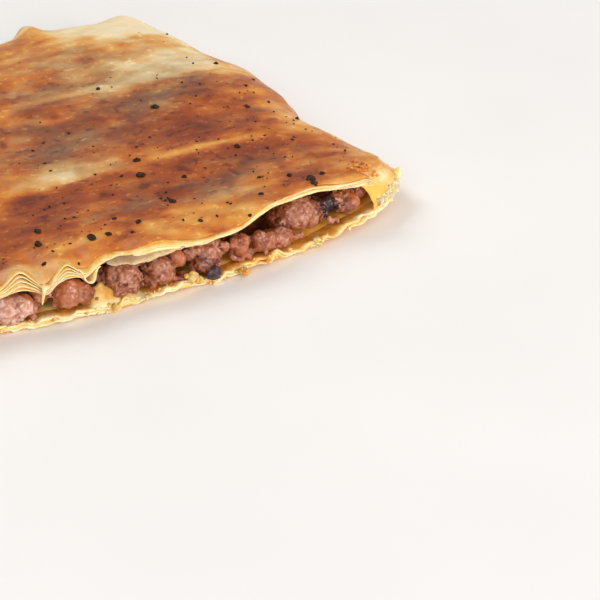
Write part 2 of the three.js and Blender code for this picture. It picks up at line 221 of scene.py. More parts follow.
@dataclass(frozen=True)
class SliceForm:
    """A straight-sided quarter of folded bread, and how it settles into its uneven outline."""

    width: float = 130.0
    depth: float = 118.0
    height: float = 11.6
    crust: float = 2.1
    rim_top: float = 4.2
    rim_middle: float = 2.4
    rim_radius: float = 2.0
    fold_reach: float = 6.5
    curl_reach: float = 20.0
    ruffle_reach: float = 7.0
    cut_fade: float = 7.0
    left_phase: float = 9.0
    front_tip_radius: float = 14.0
    back_tip_radius: float = 9.0
    tip_lift: float = 3.6
    tip_reach: float = 16.0
    cut_ends: float = 5.0
    cut_opens: float = 16.0
    corner_radius: float = 10.0
    pocket_inset: float = 4.2
    meat_inset: float = 15.0
    right_swells: Swells = ((-21, -2.1, 7.3), (-5, 1.9, 8), (10.5, 3.4, 10), (50, -1.7, 9))
    back_swells: Swells = (
        (50, -1.8, 5), (32, 1.4, 3.8), (20, -0.9, 7), (-4, 1.4, 9), (-30, -2.2, 8), (-52, 1.4, 7),
    )
    front_swells: Swells = ((15.5, 3.1, 32), (-38, -3.4, 14))
    left_swells: Swells = ((-28, -1.2, 15), (20, 1.6, 20))
    rim_lifts: Swells = ((31.3, 2.6, 2.5), (59, 1.4, 9), (-12, 1.0, 9))
    ruffle_swells: Swells = (
        (-27, 1.4, 2.4), (-22.3, -1.3, 1.4), (-18.4, 0.8, 1.8), (-13.8, -1.5, 2.0), (30, 0.8, 4),
    )
    recess_swells: Swells = ((36, 4.0, 10), (-7.5, 2.6, 4.5), (-48, 1.2, 8))
    shift: tuple[float, float] = (0.0, 0.0)
    blisters: Grain = field(default_factory=lambda: Grain(11))

    @property
    def right(self) -> float:
        """Where the right fold is."""
        return self.width / 2

    @property
    def back(self) -> float:
        """Where the back fold is."""
        return self.depth / 2

    @property
    def left(self) -> float:
        """Where the left cut is."""
        return -self.width / 2

    @property
    def front(self) -> float:
        """Where the front cut is."""
        return -self.depth / 2

    def settle(self, x: Array, y: Array) -> tuple[Array, Array]:
        """Moves places on the straight-sided slice to where they lie on the uneven one.

        Args:
            x: places across.
            y: places along.

        Returns:
            The settled places, across and along.
        """
        out_right = swell(y, self.right_swells) * smooth(x, 0, self.right)
        out_left = swell(y, self.left_swells) * smooth(-x, 0, -self.left)
        out_back = swell(x, self.back_swells) * smooth(y, 0, self.back)
        out_front = swell(x, self.front_swells) * smooth(-y, 0, -self.front)
        return x + out_right - out_left + self.shift[0], y + out_back - out_front + self.shift[1]

    def unsettle(self, x: Array, y: Array) -> tuple[Array, Array]:
        """The places on the straight-sided slice that settle to these, found by stepping closer.

        Args:
            x: places across.
            y: places along.

        Returns:
            The straight-sided places, across and along.
        """
        px, py = x - self.shift[0], y - self.shift[1]
        for _ in range(4):
            sx, sy = self.settle(px, py)
            px, py = px + x - sx, py + y - sy
        return px, py

    def points(self, x: Array, y: Array, z: Array) -> Array:
        """Settled points of three numbers each.

        Args:
            x: places across the straight-sided slice.
            y: places along it.
            z: their heights.

        Returns:
            An array of points, whatever the shape of the places.
        """
        settled_x, settled_y = self.settle(x, y)
        return np.stack([settled_x.ravel(), settled_y.ravel(), np.ravel(z)], axis=1)

    def fullness(self, x: Array, y: Array) -> Array:
        """How far the crust has climbed from its folded rims, and from a cut where the cut is shut.

        Args:
            x: places across.
            y: places along.

        Returns:
            1 where the crust lies at its full height, 0 at a rim.
        """
        def climb(distance: Array) -> Array:
            return 1 - np.exp(-np.maximum(distance, 0) / self.fold_reach)

        tip = lerp(climb(y - self.front), 1.0, self.open_front(x))
        back_tip = lerp(climb(x - self.left), 1.0, self.open_left(y))
        return climb(self.right - x) * climb(self.back - y) * tip * back_tip

    def tip_curl(self, x: Array, y: Array) -> Array:
        """How far the front tip curls off the table."""
        return self.tip_lift * fade(np.hypot(x - self.right, y - self.front), self.tip_reach)

    def rim_lift(self, x: Array, y: Array) -> Array:
        """How far the back rim and the front tip curl off the table."""
        back_rim = swell(x, self.rim_lifts) * smooth(y, self.back - self.curl_reach, self.back)
        return back_rim + self.tip_curl(x, y)

    def relief(self, x: Array, y: Array) -> Array:
        """Broad bumps and long ridges of the top."""
        bumps = 0.5 * np.sin(x / 13 + 1.3) * np.sin(y / 10 - 0.4)
        ridges = 0.3 * np.sin(y / 4.6 + 1.4 * np.sin(x / 23))
        return bumps + ridges + 0.25 * np.sin(x / 7 + y / 14 + 0.5)

    def ruffle(self, along: Array) -> Array:
        """How the edge of the upper crust waves up and down along a cut."""
        waves = 0.5 * np.sin(along / 3.1 + 0.6) + 0.35 * np.sin(along / 2.05 + 1.7)
        return waves - 0.2 + swell(along, self.ruffle_swells)

    def top(self, x: Array, y: Array) -> Array:
        """Height of the top of the upper crust, without its fine blisters.

        Args:
            x: places across.
            y: places along.

        Returns:
            The height at each place.
        """
        full = self.fullness(x, y)
        front = self.ruffle(x) * fade(y - self.front, self.ruffle_reach)
        left = self.ruffle(y + self.left_phase) * fade(x - self.left, self.ruffle_reach)
        waves = (self.relief(x, y) + front + left) * full
        return lerp(self.rim_top, self.height, full) + waves + self.rim_lift(x, y)

    def fine(self, x: Array, y: Array) -> Array:
        """Fine blisters and wrinkles of the fried skin."""
        lumps = 0.20 * self.blisters.layers(x / 9.0, y / 5.0, 0.5, 3)
        wrinkles = 0.05 * (1 - 2 * np.abs(self.blisters(x / 8.0 + 0.05 * y, y / 5.0, 3.7)))
        pimples = 0.06 * self.blisters(x / 1.7, y / 1.5, 8.1)
        return (lumps + wrinkles + pimples) * self.fullness(x, y) ** 0.5

    def skin(self, x: Array, y: Array) -> Array:
        """Height of the fried skin with its fine blisters."""
        return self.top(x, y) + self.fine(x, y)

    def recess(self, along: Array) -> Array:
        """How far the upper crust's edge lies behind the lower one's along a cut."""
        return swell(along, self.recess_swells)

    def from_cuts(self, x: Array, y: Array) -> tuple[Array, Array]:
        """How far places lie behind the upper crust's edge at the front cut and at the left one."""
        return y - self.front - self.recess(x), x - self.left - self.recess(y + self.left_phase)

    def curl(self, along: Array) -> Array:
        """How far the lower crust's edge curls off the table along a cut."""
        return 0.3 * (1 + np.sin(along / 3.4 + 0.8)) * (1 + 0.5 * np.sin(along / 8))

    def open_front(self, x: Array) -> Array:
        """1 where the front cut is open and 0 at its folded tip."""
        return smooth(self.right - x, self.cut_ends, self.cut_opens)

    def open_left(self, y: Array) -> Array:
        """1 where the left cut is open and 0 at its folded tip."""
        return smooth(self.back - y, self.cut_ends, self.cut_opens)

    def cut_share(self, x: Array, y: Array) -> Array:
        """How far a place on the rim belongs to a cut, 1, and not to a fold, 0."""
        near_front = 1 - smooth(y - self.front, 0.5, self.cut_fade)
        near_left = 1 - smooth(x - self.left, 0.5, self.cut_fade)
        return np.maximum(near_front * self.open_front(x), near_left * self.open_left(y))

    def inset(self, x: Array, y: Array, amount: Array | float) -> tuple[Array, Array]:
        """Rim places drawn in towards the middle of the slice by amount."""
        return x * (1 - amount / self.right), y * (1 - amount / self.back)

    def sides(self) -> list[Array]:
        """The four sides as fine polylines: front, right, back, left.

        Returns:
            The points of each side, across and along.
        """
        def arc(cx: float, cy: float, radius: float, start: float, end: float) -> Array:
            angles = np.radians(np.linspace(start, end, 60))
            return np.stack([cx + radius * np.cos(angles), cy + radius * np.sin(angles)], axis=1)

        tip = (self.right - self.front_tip_radius, self.front + self.front_tip_radius, self.front_tip_radius)
        corner = (self.right - self.corner_radius, self.back - self.corner_radius, self.corner_radius)
        back_tip = (self.left + self.back_tip_radius, self.back - self.back_tip_radius, self.back_tip_radius)
        start = np.array([[self.left, self.front]])
        return [
            np.concatenate([start, arc(*tip, -90, -45)]),
            np.concatenate([arc(*tip, -45, 0), arc(*corner, 0, 45)]),
            np.concatenate([arc(*corner, 45, 90), arc(*back_tip, 90, 135)]),
            np.concatenate([arc(*back_tip, 135, 180), start]),
        ]

    def ring(self, across: int, along: int) -> Ring:
        """Stations evenly spaced along each side of the rim.

        Args:
            across: how many cells the front and the back have.
            along: how many cells the right and the left have.

        Returns:
            The stations, with what the crust does at each.
        """
        places = []
        for line, cells in zip(self.sides(), (across, along, across, along)):
            run = np.concatenate([[0.0], np.cumsum(np.linalg.norm(np.diff(line, axis=0), axis=1))])
            at = np.linspace(0, run[-1], cells + 1)[:-1]
            places.append(np.stack([np.interp(at, run, line[:, 0]), np.interp(at, run, line[:, 1])], axis=1))
        x, y = np.concatenate(places).T
        cut = self.cut_share(x, y)
        phase = np.where(y - self.front < x - self.left, x, y + self.left_phase)
        return Ring(x, y, cut, phase, cut * self.recess(phase))

    def corner_loss(self, radius: float, past: Array) -> Array:
        """How much a round corner takes off a side, past millimetres into it."""
        return radius - np.sqrt(radius**2 - np.clip(past, 0, radius - 1) ** 2)

    def pocket_right(self, y: Array, end: float) -> Array:
        """Where the pocket ends on the right."""
        tip = self.corner_loss(self.front_tip_radius, self.front + self.front_tip_radius - y)
        corner = self.corner_loss(self.corner_radius, y - self.back + self.corner_radius)
        return self.right - end - tip - corner

    def pocket_back(self, x: Array, end: float) -> Array:
        """Where the pocket ends at the back."""
        return self.back - end - self.corner_loss(self.back_tip_radius, self.left + self.back_tip_radius - x)


# ---- Meshes ----
def make_object(
    name: str, vertices: Array, faces: Sequence, sizes: dict[str, Array] | None = None,
) -> Piece:
    """A smooth mesh object from points in millimetres.

    Args:
        name: the piece's name.
        vertices: its points in millimetres.
        faces: vertex numbers of each face.
        sizes: values for each vertex, by attribute name.

    Returns:
        The object, linked to the scene.
    """
    mesh = bpy.data.meshes.new(name)
    mesh.from_pydata((np.asarray(vertices) * MM).tolist(), [], faces)
    mesh.polygons.foreach_set("use_smooth", np.ones(len(mesh.polygons), bool))
    mesh.update()
    obj = bpy.data.objects.new(name, mesh)
    bpy.context.scene.collection.objects.link(obj)
    for key, values in (sizes or {}).items():
        write_attribute(obj, key, values)
    return obj


def write_attribute(obj: Piece, key: str, values: Array) -> None:
    """Stores one number for each vertex of a piece."""
    layer = obj.data.attributes.get(key) or obj.data.attributes.new(key, "FLOAT", "POINT")
    layer.data.foreach_set("value", np.asarray(values, np.float32))


def read_points(obj: Piece) -> Array:
    """The piece's points in millimetres."""
    points = np.empty(len(obj.data.vertices) * 3, np.float32)
    obj.data.vertices.foreach_get("co", points)
    return points.reshape(-1, 3).astype(float) / MM


def read_normals(obj: Piece) -> Array:
    """The normals at the piece's points."""
    normals = np.empty(len(obj.data.vertices) * 3, np.float32)
    obj.data.vertex_normals.foreach_get("vector", normals)
    return normals.reshape(-1, 3).astype(float)


def triangle_count(obj: Piece) -> int:
    """How many triangles the piece's faces make."""
    sides = np.empty(len(obj.data.polygons), np.int32)
    obj.data.polygons.foreach_get("loop_total", sides)
    return int(np.sum(sides - 2))


def grid_faces(rows: int, columns: int, closed: bool = False, first: int = 0) -> list[tuple[int, ...]]:
    """Quads of a grid of points numbered row by row.

    Args:
        rows: how many rows of points there are.
        columns: how many points a row has.
        closed: whether each row closes on itself.
        first: the number of the first point.

    Returns:
        The vertex numbers of each quad.
    """
    number = first + np.arange(rows * columns).reshape(rows, columns)
    if closed:
        number = np.concatenate([number, number[:, :1]], axis=1)
    a, b, c, d = number[:-1, :-1], number[1:, :-1], number[1:, 1:], number[:-1, 1:]
    return np.stack([a, b, c, d], axis=-1).reshape(-1, 4).tolist()


def slab(name: str, low: Array, high: Array, shape: tuple[int, int]) -> Piece:
    """A closed slab between two grids of points.

    Args:
        name: the piece's name.
        low: the points of its underside.
        high: the points of its top.
        shape: the rows and columns of both grids.

    Returns:
        The slab, facing outwards.
    """
    rows, columns = shape
    size = rows * columns
    faces = grid_faces(rows, columns, first=size) + [quad[::-1] for quad in grid_faces(rows, columns)]
    number = np.arange(size).reshape(shape)
    border = np.concatenate([number[:-1, 0], number[-1, :-1], number[:0:-1, -1], number[0, :0:-1]])
    following = np.roll(border, -1)
    faces += np.stack([border, following, following + size, border + size], axis=1).tolist()
    obj = make_object(name, np.concatenate([low, high]), faces)
    face_outwards(obj)
    return obj


def face_outwards(obj: Piece) -> None:
    """Turns every closed shell of a piece so that its faces point outwards.

    Args:
        obj: the piece.
    """
    work = bmesh.new()
    work.from_mesh(obj.data)
    bmesh.ops.recalc_face_normals(work, faces=work.faces)
    work.to_mesh(obj.data)
    work.free()


def edge_pairs(obj: Piece) -> tuple[Array, Array]:
    """The numbers of the two points of every edge, each edge both ways round."""
    pairs = np.empty(len(obj.data.edges) * 2, np.int32)
    obj.data.edges.foreach_get("vertices", pairs)
    a, b = pairs.reshape(-1, 2).T
    return np.concatenate([a, b]), np.concatenate([b, a])


def drop_specks(obj: Piece, least: int) -> None:
    """Deletes the separate shells of a piece that have fewer points than least.

    Args:
        obj: the piece.
        least: the fewest points that a shell may have.
    """
    ends, others = edge_pairs(obj)
    shell = np.arange(len(obj.data.vertices))
    while True:
        lower = shell.copy()
        np.minimum.at(lower, ends, shell[others])
        lower = lower[lower]
        if np.array_equal(lower, shell):
            break
        shell = lower
    small = np.bincount(shell, minlength=len(shell))[shell] < least
    work = bmesh.new()
    work.from_mesh(obj.data)
    work.verts.ensure_lookup_table()
    bmesh.ops.delete(work, geom=[work.verts[n] for n in np.flatnonzero(small)], context="VERTS")
    work.to_mesh(obj.data)
    work.free()


def closed_skin(loops: list[Array]) -> tuple[Array, list]:
    """A closed skin through loops of as many points each.

    Args:
        loops: the points of each loop, in millimetres.

    Returns:
        Its points and faces, with both ends shut.
    """
    count = len(loops[0])
    last = (len(loops) - 1) * count
    ends = [tuple(range(count)), tuple(range(last, last + count))[::-1]]
    return np.concatenate(loops), grid_faces(len(loops), count, closed=True) + ends


def bake_modifiers(obj: Piece) -> None:
    """Turns the result of a piece's modifiers into its plain mesh and takes them off.

    Args:
        obj: the piece.
    """
    depsgraph = bpy.context.evaluated_depsgraph_get()
    result = bpy.data.meshes.new_from_object(obj.evaluated_get(depsgraph), depsgraph=depsgraph)
    obj.modifiers.clear()
    old = obj.data
    obj.data = result
    bpy.data.meshes.remove(old)
    result.name = obj.name
    result.polygons.foreach_set("use_smooth", np.ones(len(result.polygons), bool))


def cut_away(obj: Piece, cutter: Piece) -> None:
    """Subtracts a closed cutter from a closed piece and removes the cutter.

    Args:
        obj: what is cut.
        cutter: what is taken off it.
    """
    knife = obj.modifiers.new("cut", "BOOLEAN")
    knife.operation = "DIFFERENCE"
    knife.object = cutter
    knife.solver = "MANIFOLD"
    bake_modifiers(obj)
    bpy.data.objects.remove(cutter)


# ---- Shader nodes ----
Stops = tuple[tuple[float, str], ...]


def colour(code: str) -> Colour:
    """A colour in linear light from its six hex digits."""
    parts = [int(code[n : n + 2], 16) / 255 for n in (0, 2, 4)]
    linear = [p / 12.92 if p <= 0.04045 else ((p + 0.055) / 1.055) ** 2.4 for p in parts]
    return (*linear, 1.0)


class NodeBuilder:
    """Adds nodes to one tree."""

    def __init__(self, tree: bpy.types.NodeTree) -> None:
        """Takes the tree to build in."""
        self.tree = tree

    def node(self, kind: str, values: dict[str | int, object], **settings: object) -> bpy.types.Node:
        """Adds a node.

        Args:
            kind: the node's type.
            values: a number, colour or socket for each input, by name or place.
            **settings: the node's own settings.

        Returns:
            The node.
        """
        node = self.tree.nodes.new(kind)
        for key, value in settings.items():
            setattr(node, key, value)
        for key, value in values.items():
            if isinstance(value, Socket):
                self.tree.links.new(value, node.inputs[key])
            else:
                node.inputs[key].default_value = value
        return node


class Shading(NodeBuilder):
    """Builds one material's nodes in plain words."""

    def __init__(self, name: str) -> None:
        """Starts a material with only its surface and its output.

        Args:
            name: the material's name.
        """
        self.material = bpy.data.materials.new(name)
        self.material.use_nodes = True
        super().__init__(self.material.node_tree)
        self.surface = self.tree.nodes["Principled BSDF"]
        self.place = self.tree.nodes.new("ShaderNodeTexCoord").outputs["Object"]

    def read(self, key: str) -> Socket:
        """The value stored on the piece under this attribute name."""
        return self.node("ShaderNodeAttribute", {}, attribute_name=key).outputs["Fac"]

    def stretched(self, x: float, y: float, z: float) -> Socket:
        """Object coordinates in cells of x by y by z millimetres."""
        scale = (1 / (x * MM), 1 / (y * MM), 1 / (z * MM))
        return self.node("ShaderNodeMapping", {"Vector": self.place, "Scale": scale}).outputs["Vector"]

    def noise(self, x: float, y: float, z: float, detail: float = 3.0, twist: float = 0.0) -> Socket:
        """Noise from 0 to 1 whose blotches measure x by y by z millimetres."""
        values = {"Vector": self.stretched(x, y, z), "Scale": 1.0, "Detail": detail, "Distortion": twist}
        return self.node("ShaderNodeTexNoise", values).outputs["Fac"]

    def noise_above(self, x: float, y: float, low: float, high: float) -> Socket:
        """Separate spots of about x by y millimetres, where noise rises from low to high."""
        return self.spread(self.noise(x, y, x, 2.0), low, high, 0.0, 1.0)

    def cells(self, size: float, feature: str = "F1") -> Socket:
        """Distance to the nearest of points spread about size millimetres apart."""
        values = {"Vector": self.stretched(size, size, size), "Scale": 1.0}
        return self.node("ShaderNodeTexVoronoi", values, feature=feature).outputs["Distance"]

    def maths(self, operation: str, a: object, b: object = 0.0, clamp: bool = False) -> Socket:
        """One sum of two values."""
        return self.node("ShaderNodeMath", {0: a, 1: b}, operation=operation, use_clamp=clamp).outputs[0]

    def centred(self, value: Socket) -> Socket:
        """A value from 0 to 1 turned into one from -0.5 to 0.5."""
        return self.maths("SUBTRACT", value, 0.5)

    def plus(self, base: object, extra: object, amount: float) -> Socket:
        """The base with some of the extra added."""
        node = self.node("ShaderNodeMath", {0: extra, 1: amount, 2: base}, operation="MULTIPLY_ADD")
        return node.outputs[0]

    def spread(self, value: object, low: float, high: float, to_low: float, to_high: float) -> Socket:
        """The value's range from low to high carried over to another range, and held within it."""
        values = {0: value, 1: low, 2: high, 3: to_low, 4: to_high}
        return self.node("ShaderNodeMapRange", values, clamp=True).outputs[0]

    def ramp(self, value: object, stops: Stops) -> Socket:
        """A colour for the value.

        Args:
            value: from 0 to 1.
            stops: (value, hex colour) of each stop.

        Returns:
            The colour's socket.
        """
        node = self.node("ShaderNodeValToRGB", {0: value})
        marks = node.color_ramp.elements
        while len(marks) < len(stops):
            marks.new(0.5)
        for mark, (at, code) in zip(marks, stops):
            mark.position = at
            mark.color = colour(code)
        return node.outputs["Color"]

    def mix(self, share: object, a: object, b: object, blend: str = "MIX") -> Socket:
        """Colour a turning into colour b by share.

        Args:
            share: how much of b shows.
            a: the first colour.
            b: the second colour.
            blend: how they are put together.

        Returns:
            The mixed colour.
        """
        node = self.node("ShaderNodeMix", {}, data_type="RGBA", blend_type=blend, clamp_factor=True)
        for key, value in (("Factor_Float", share), ("A_Color", a), ("B_Color", b)):
            socket = next(s for s in node.inputs if s.identifier == key)
            if isinstance(value, Socket):
                self.tree.links.new(value, socket)
            else:
                socket.default_value = value
        return next(s for s in node.outputs if s.identifier == "Result_Color")

    def bump(self, height: object, depth: float, strength: float = 1.0, below: object = None) -> Socket:
        """A normal bent by a height of up to depth millimetres."""
        values = {"Height": height, "Distance": depth * MM, "Strength": strength}
        if below is not None:
            values["Normal"] = below
        return self.node("ShaderNodeBump", values).outputs["Normal"]

    def finish(self, tint: object, roughness: object, normal: object, **constants: object) -> Material:
        """Connects the surface and returns the material.

        Args:
            tint: colour or socket.
            roughness: number or socket.
            normal: socket of the bent normal.
            **constants: other inputs of the surface, with _ for a space.

        Returns:
            The finished material.
        """
        for key, value in (("Base Color", tint), ("Roughness", roughness), ("Normal", normal)):
            if isinstance(value, Socket):
                self.tree.links.new(value, self.surface.inputs[key])
            elif value is not None:
                self.surface.inputs[key].default_value = value
        for key, value in constants.items():
            self.surface.inputs[key.replace("_", " ")].default_value = value
        return self.material


# ---- Finishes ----
@dataclass(frozen=True)
class FriedSkin:
    """Dough fried in a little oil: cream, golden and orange-brown, with greyer places where it is glassy."""

    name: str = "fried_skin"
    warm: Stops = (
        (0.00, "F7E1B6"), (0.15, "EDC580"), (0.30, "DE9C46"), (0.45, "C5712A"), (0.60, "A04C1A"),
        (0.75, "7E3614"), (0.90, "5A240F"), (1.00, "3C170A"),
    )
    cool: Stops = (
        (0.00, "EFE0BF"), (0.20, "DCC494"), (0.40, "BD9A66"), (0.60, "956A46"), (0.75, "78503C"),
        (0.90, "5C3A31"), (1.00, "3A211A"),
    )
    inner: Stops = ((0.0, "FFE6AC"), (0.35, "FDC058"), (0.7, "F7A036"), (1.0, "CE7A24"))
    scatter: tuple[float, float, float] = (1.0, 0.5, 0.2)

    def build(self) -> Material:
        """Makes the material.

        Returns:
            It reads fry, chill, inner and grease from the piece.
        """
        s = Shading(self.name)
        fry = s.read("fry")
        fry = s.plus(fry, s.centred(s.noise(13.0, 7.5, 8.0, 1.0, 0.5)), 0.50)
        fry = s.plus(fry, s.centred(s.noise(4.6, 3.6, 4.0, 2.0, 0.3)), 0.30)
        fry = s.plus(fry, s.centred(s.noise(1.3, 1.1, 1.3, 2.0)), 0.10)
        singed = s.maths("MULTIPLY", s.spread(fry, 0.40, 0.60, 0.0, 1.0), s.noise_above(2.8, 2.3, 0.58, 0.68))
        fry = s.plus(fry, singed, 0.14)
        fry = s.plus(fry, s.noise_above(1.7, 1.3, 0.60, 0.72), -0.14)
        chill = s.plus(s.read("chill"), s.centred(s.noise(7.5, 4.6, 5.0, 2.0, 0.4)), 1.3)
        tint = s.mix(s.spread(chill, 0.1, 0.9, 0.0, 1.0), s.ramp(fry, self.warm), s.ramp(fry, self.cool))
        grease = s.plus(s.read("grease"), s.centred(s.noise(2.6, 2.6, 2.6, 3.0)), 0.7)
        tint = s.mix(s.read("inner"), tint, s.ramp(grease, self.inner))
        rough = s.spread(s.noise(3.5, 2.2, 3.0, 3.0), 0.3, 0.7, 0.30, 0.52)
        normal = s.bump(s.noise(2.0, 1.7, 2.0, 4.0), 0.14, 0.55)
        normal = s.bump(s.noise(0.45, 0.4, 0.4, 2.0), 0.04, 0.5, normal)
        return s.finish(
            tint, rough, normal, Subsurface_Weight=0.15, Subsurface_Radius=self.scatter,
            Subsurface_Scale=0.0012, IOR=1.45, Specular_IOR_Level=0.45,
        )


@dataclass(frozen=True)
class LeafDough:
    """Thin leaves of soft dough, cream at their torn edges and oily yellow between them."""

    name: str = "leaf_dough"
    tones: Stops = ((0.0, "FEE5B6"), (0.3, "F8CE86"), (0.6, "EEAA4C"), (0.85, "E38F2E"), (1.0, "B25A24"))
    glassy: str = "A98A6E"
    scatter: tuple[float, float, float] = (1.0, 0.55, 0.25)

    def build(self) -> Material:
        """Makes the material, which reads tone and wan from the piece.

        Returns:
            The material.
        """
        s = Shading(self.name)
        mottle = s.spread(s.noise(2.2, 2.2, 1.2, 3.0, 0.3), 0.3, 0.7, -0.16, 0.16)
        tint = s.ramp(s.maths("ADD", s.read("tone"), mottle, True), self.tones)
        tint = s.mix(s.read("wan"), tint, colour(self.glassy))
        fine = s.spread(s.noise(0.5, 0.5, 0.4, 2.0), 0.3, 0.7, 0.88, 1.06)
        tint = s.mix(1.0, tint, self._grey(s, fine), "MULTIPLY")
        rough = s.spread(s.noise(1.8, 1.8, 1.8, 2.0), 0.3, 0.7, 0.36, 0.58)
        normal = s.bump(s.noise(0.6, 0.6, 0.6, 3.0), 0.09, 0.6)
        return s.finish(
            tint, rough, normal, Subsurface_Weight=0.45, Subsurface_Radius=self.scatter,
            Subsurface_Scale=0.0015, IOR=1.45, Specular_IOR_Level=0.5,
        )

    @staticmethod
    def _grey(s: Shading, value: object) -> Socket:
        """A grey of this value."""
        return s.node("ShaderNodeCombineColor", {0: value, 1: value, 2: value}).outputs[0]


@dataclass(frozen=True)
class CookedMince:
    """Moist cooked minced meat, brown with a pinkish cast, with painted shade that darkens its crevices."""

    name: str = "cooked_mince"
    tones: Stops = (
        (0.0, "301018"), (0.18, "4C2218"), (0.42, "8C4C33"), (0.62, "A96B4E"), (0.8, "C38D76"),
        (1.0, "DAB6A8"),
    )
    stain: str = "B25F2C"
    scatter: tuple[float, float, float] = (1.0, 0.35, 0.22)

    def build(self) -> Material:
        """Makes the material, which reads tone, painted crevice shade and stain from the piece.

        Returns:
            The material.
        """
        s = Shading(self.name)
        fibre = s.spread(s.noise(0.9, 0.9, 0.9, 4.0, 0.5), 0.28, 0.72, -0.22, 0.22)
        fleck = s.spread(s.cells(0.8), 0.0, 0.7, 0.12, -0.10)
        tone = s.maths("ADD", s.maths("ADD", s.read("tone"), fibre), fleck)
        # painted shade: the tone darkens where the piece is sunk between lumps, and evenly over the core
        tone = s.maths("SUBTRACT", tone, s.maths("MULTIPLY", s.read("painted_crevice_shade"), 0.62), True)
        tint = s.ramp(tone, self.tones)
        soak = s.spread(s.noise(2.4, 2.4, 2.4, 3.0), 0.35, 0.65, 0.0, 1.0)
        tint = s.mix(s.maths("MULTIPLY", s.read("stain"), soak, True), tint, colour(self.stain))
        rough = s.spread(s.noise(0.8, 0.8, 0.8, 2.0), 0.3, 0.7, 0.28, 0.55)
        normal = s.bump(s.noise(0.7, 0.7, 0.7, 3.0, 0.4), 0.16, 0.7)
        normal = s.bump(s.noise(0.3, 0.3, 0.3, 2.0), 0.07, 0.6, normal)
        return s.finish(
            tint, rough, normal, Subsurface_Weight=0.18, Subsurface_Radius=self.scatter,
            Subsurface_Scale=0.001, IOR=1.42, Specular_IOR_Level=0.6, Coat_Weight=0.3, Coat_Roughness=0.14,
        )


@dataclass(frozen=True)
class CrackedPepper:
    """Cracked black pepper, nearly black with brown broken faces."""

    name: str = "cracked_pepper"

    def build(self) -> Material:
        """Makes the material.

        Returns:
            The material.
        """
        s = Shading(self.name)
        tint = s.ramp(s.noise(0.5, 0.5, 0.5, 2.0), ((0.3, "150B06"), (0.55, "2E1A0E"), (0.75, "5E3D24")))
        normal = s.bump(s.noise(0.2, 0.2, 0.2, 2.0), 0.06, 0.7)
        rough = s.spread(s.noise(0.4, 0.4, 0.4, 2.0), 0.3, 0.7, 0.5, 0.8)
        return s.finish(tint, rough, normal, Specular_IOR_Level=0.25)


@dataclass(frozen=True)
class PaleFloor:
    """The plain pale floor."""

    name: str = "pale_floor"

    def build(self) -> Material:
        """Makes the material.

        Returns:
            The material.
        """
        s = Shading(self.name)
        tint = s.ramp(s.noise(60, 60, 60, 2.0), ((0.3, "EEEDEC"), (0.7, "F2F1F0")))
        return s.finish(tint, 0.7, None)


# ---- The crust ----
Patches = tuple[tuple[float, float, float, float, float], ...]


def patches(x: Array, y: Array, chosen: Patches) -> Array:
    """The sum of soft patches at each place.

    Args:
        x: places across.
        y: places along.
        chosen: each patch's middle, its reach both ways and how much it adds.

    Returns:
        The sum at each place.
    """
    total = np.zeros_like(x)
    for middle_x, middle_y, reach_x, reach_y, amount in chosen:
        total += amount * np.exp(-(((x - middle_x) / reach_x) ** 2) - ((y - middle_y) / reach_y) ** 2)
    return total


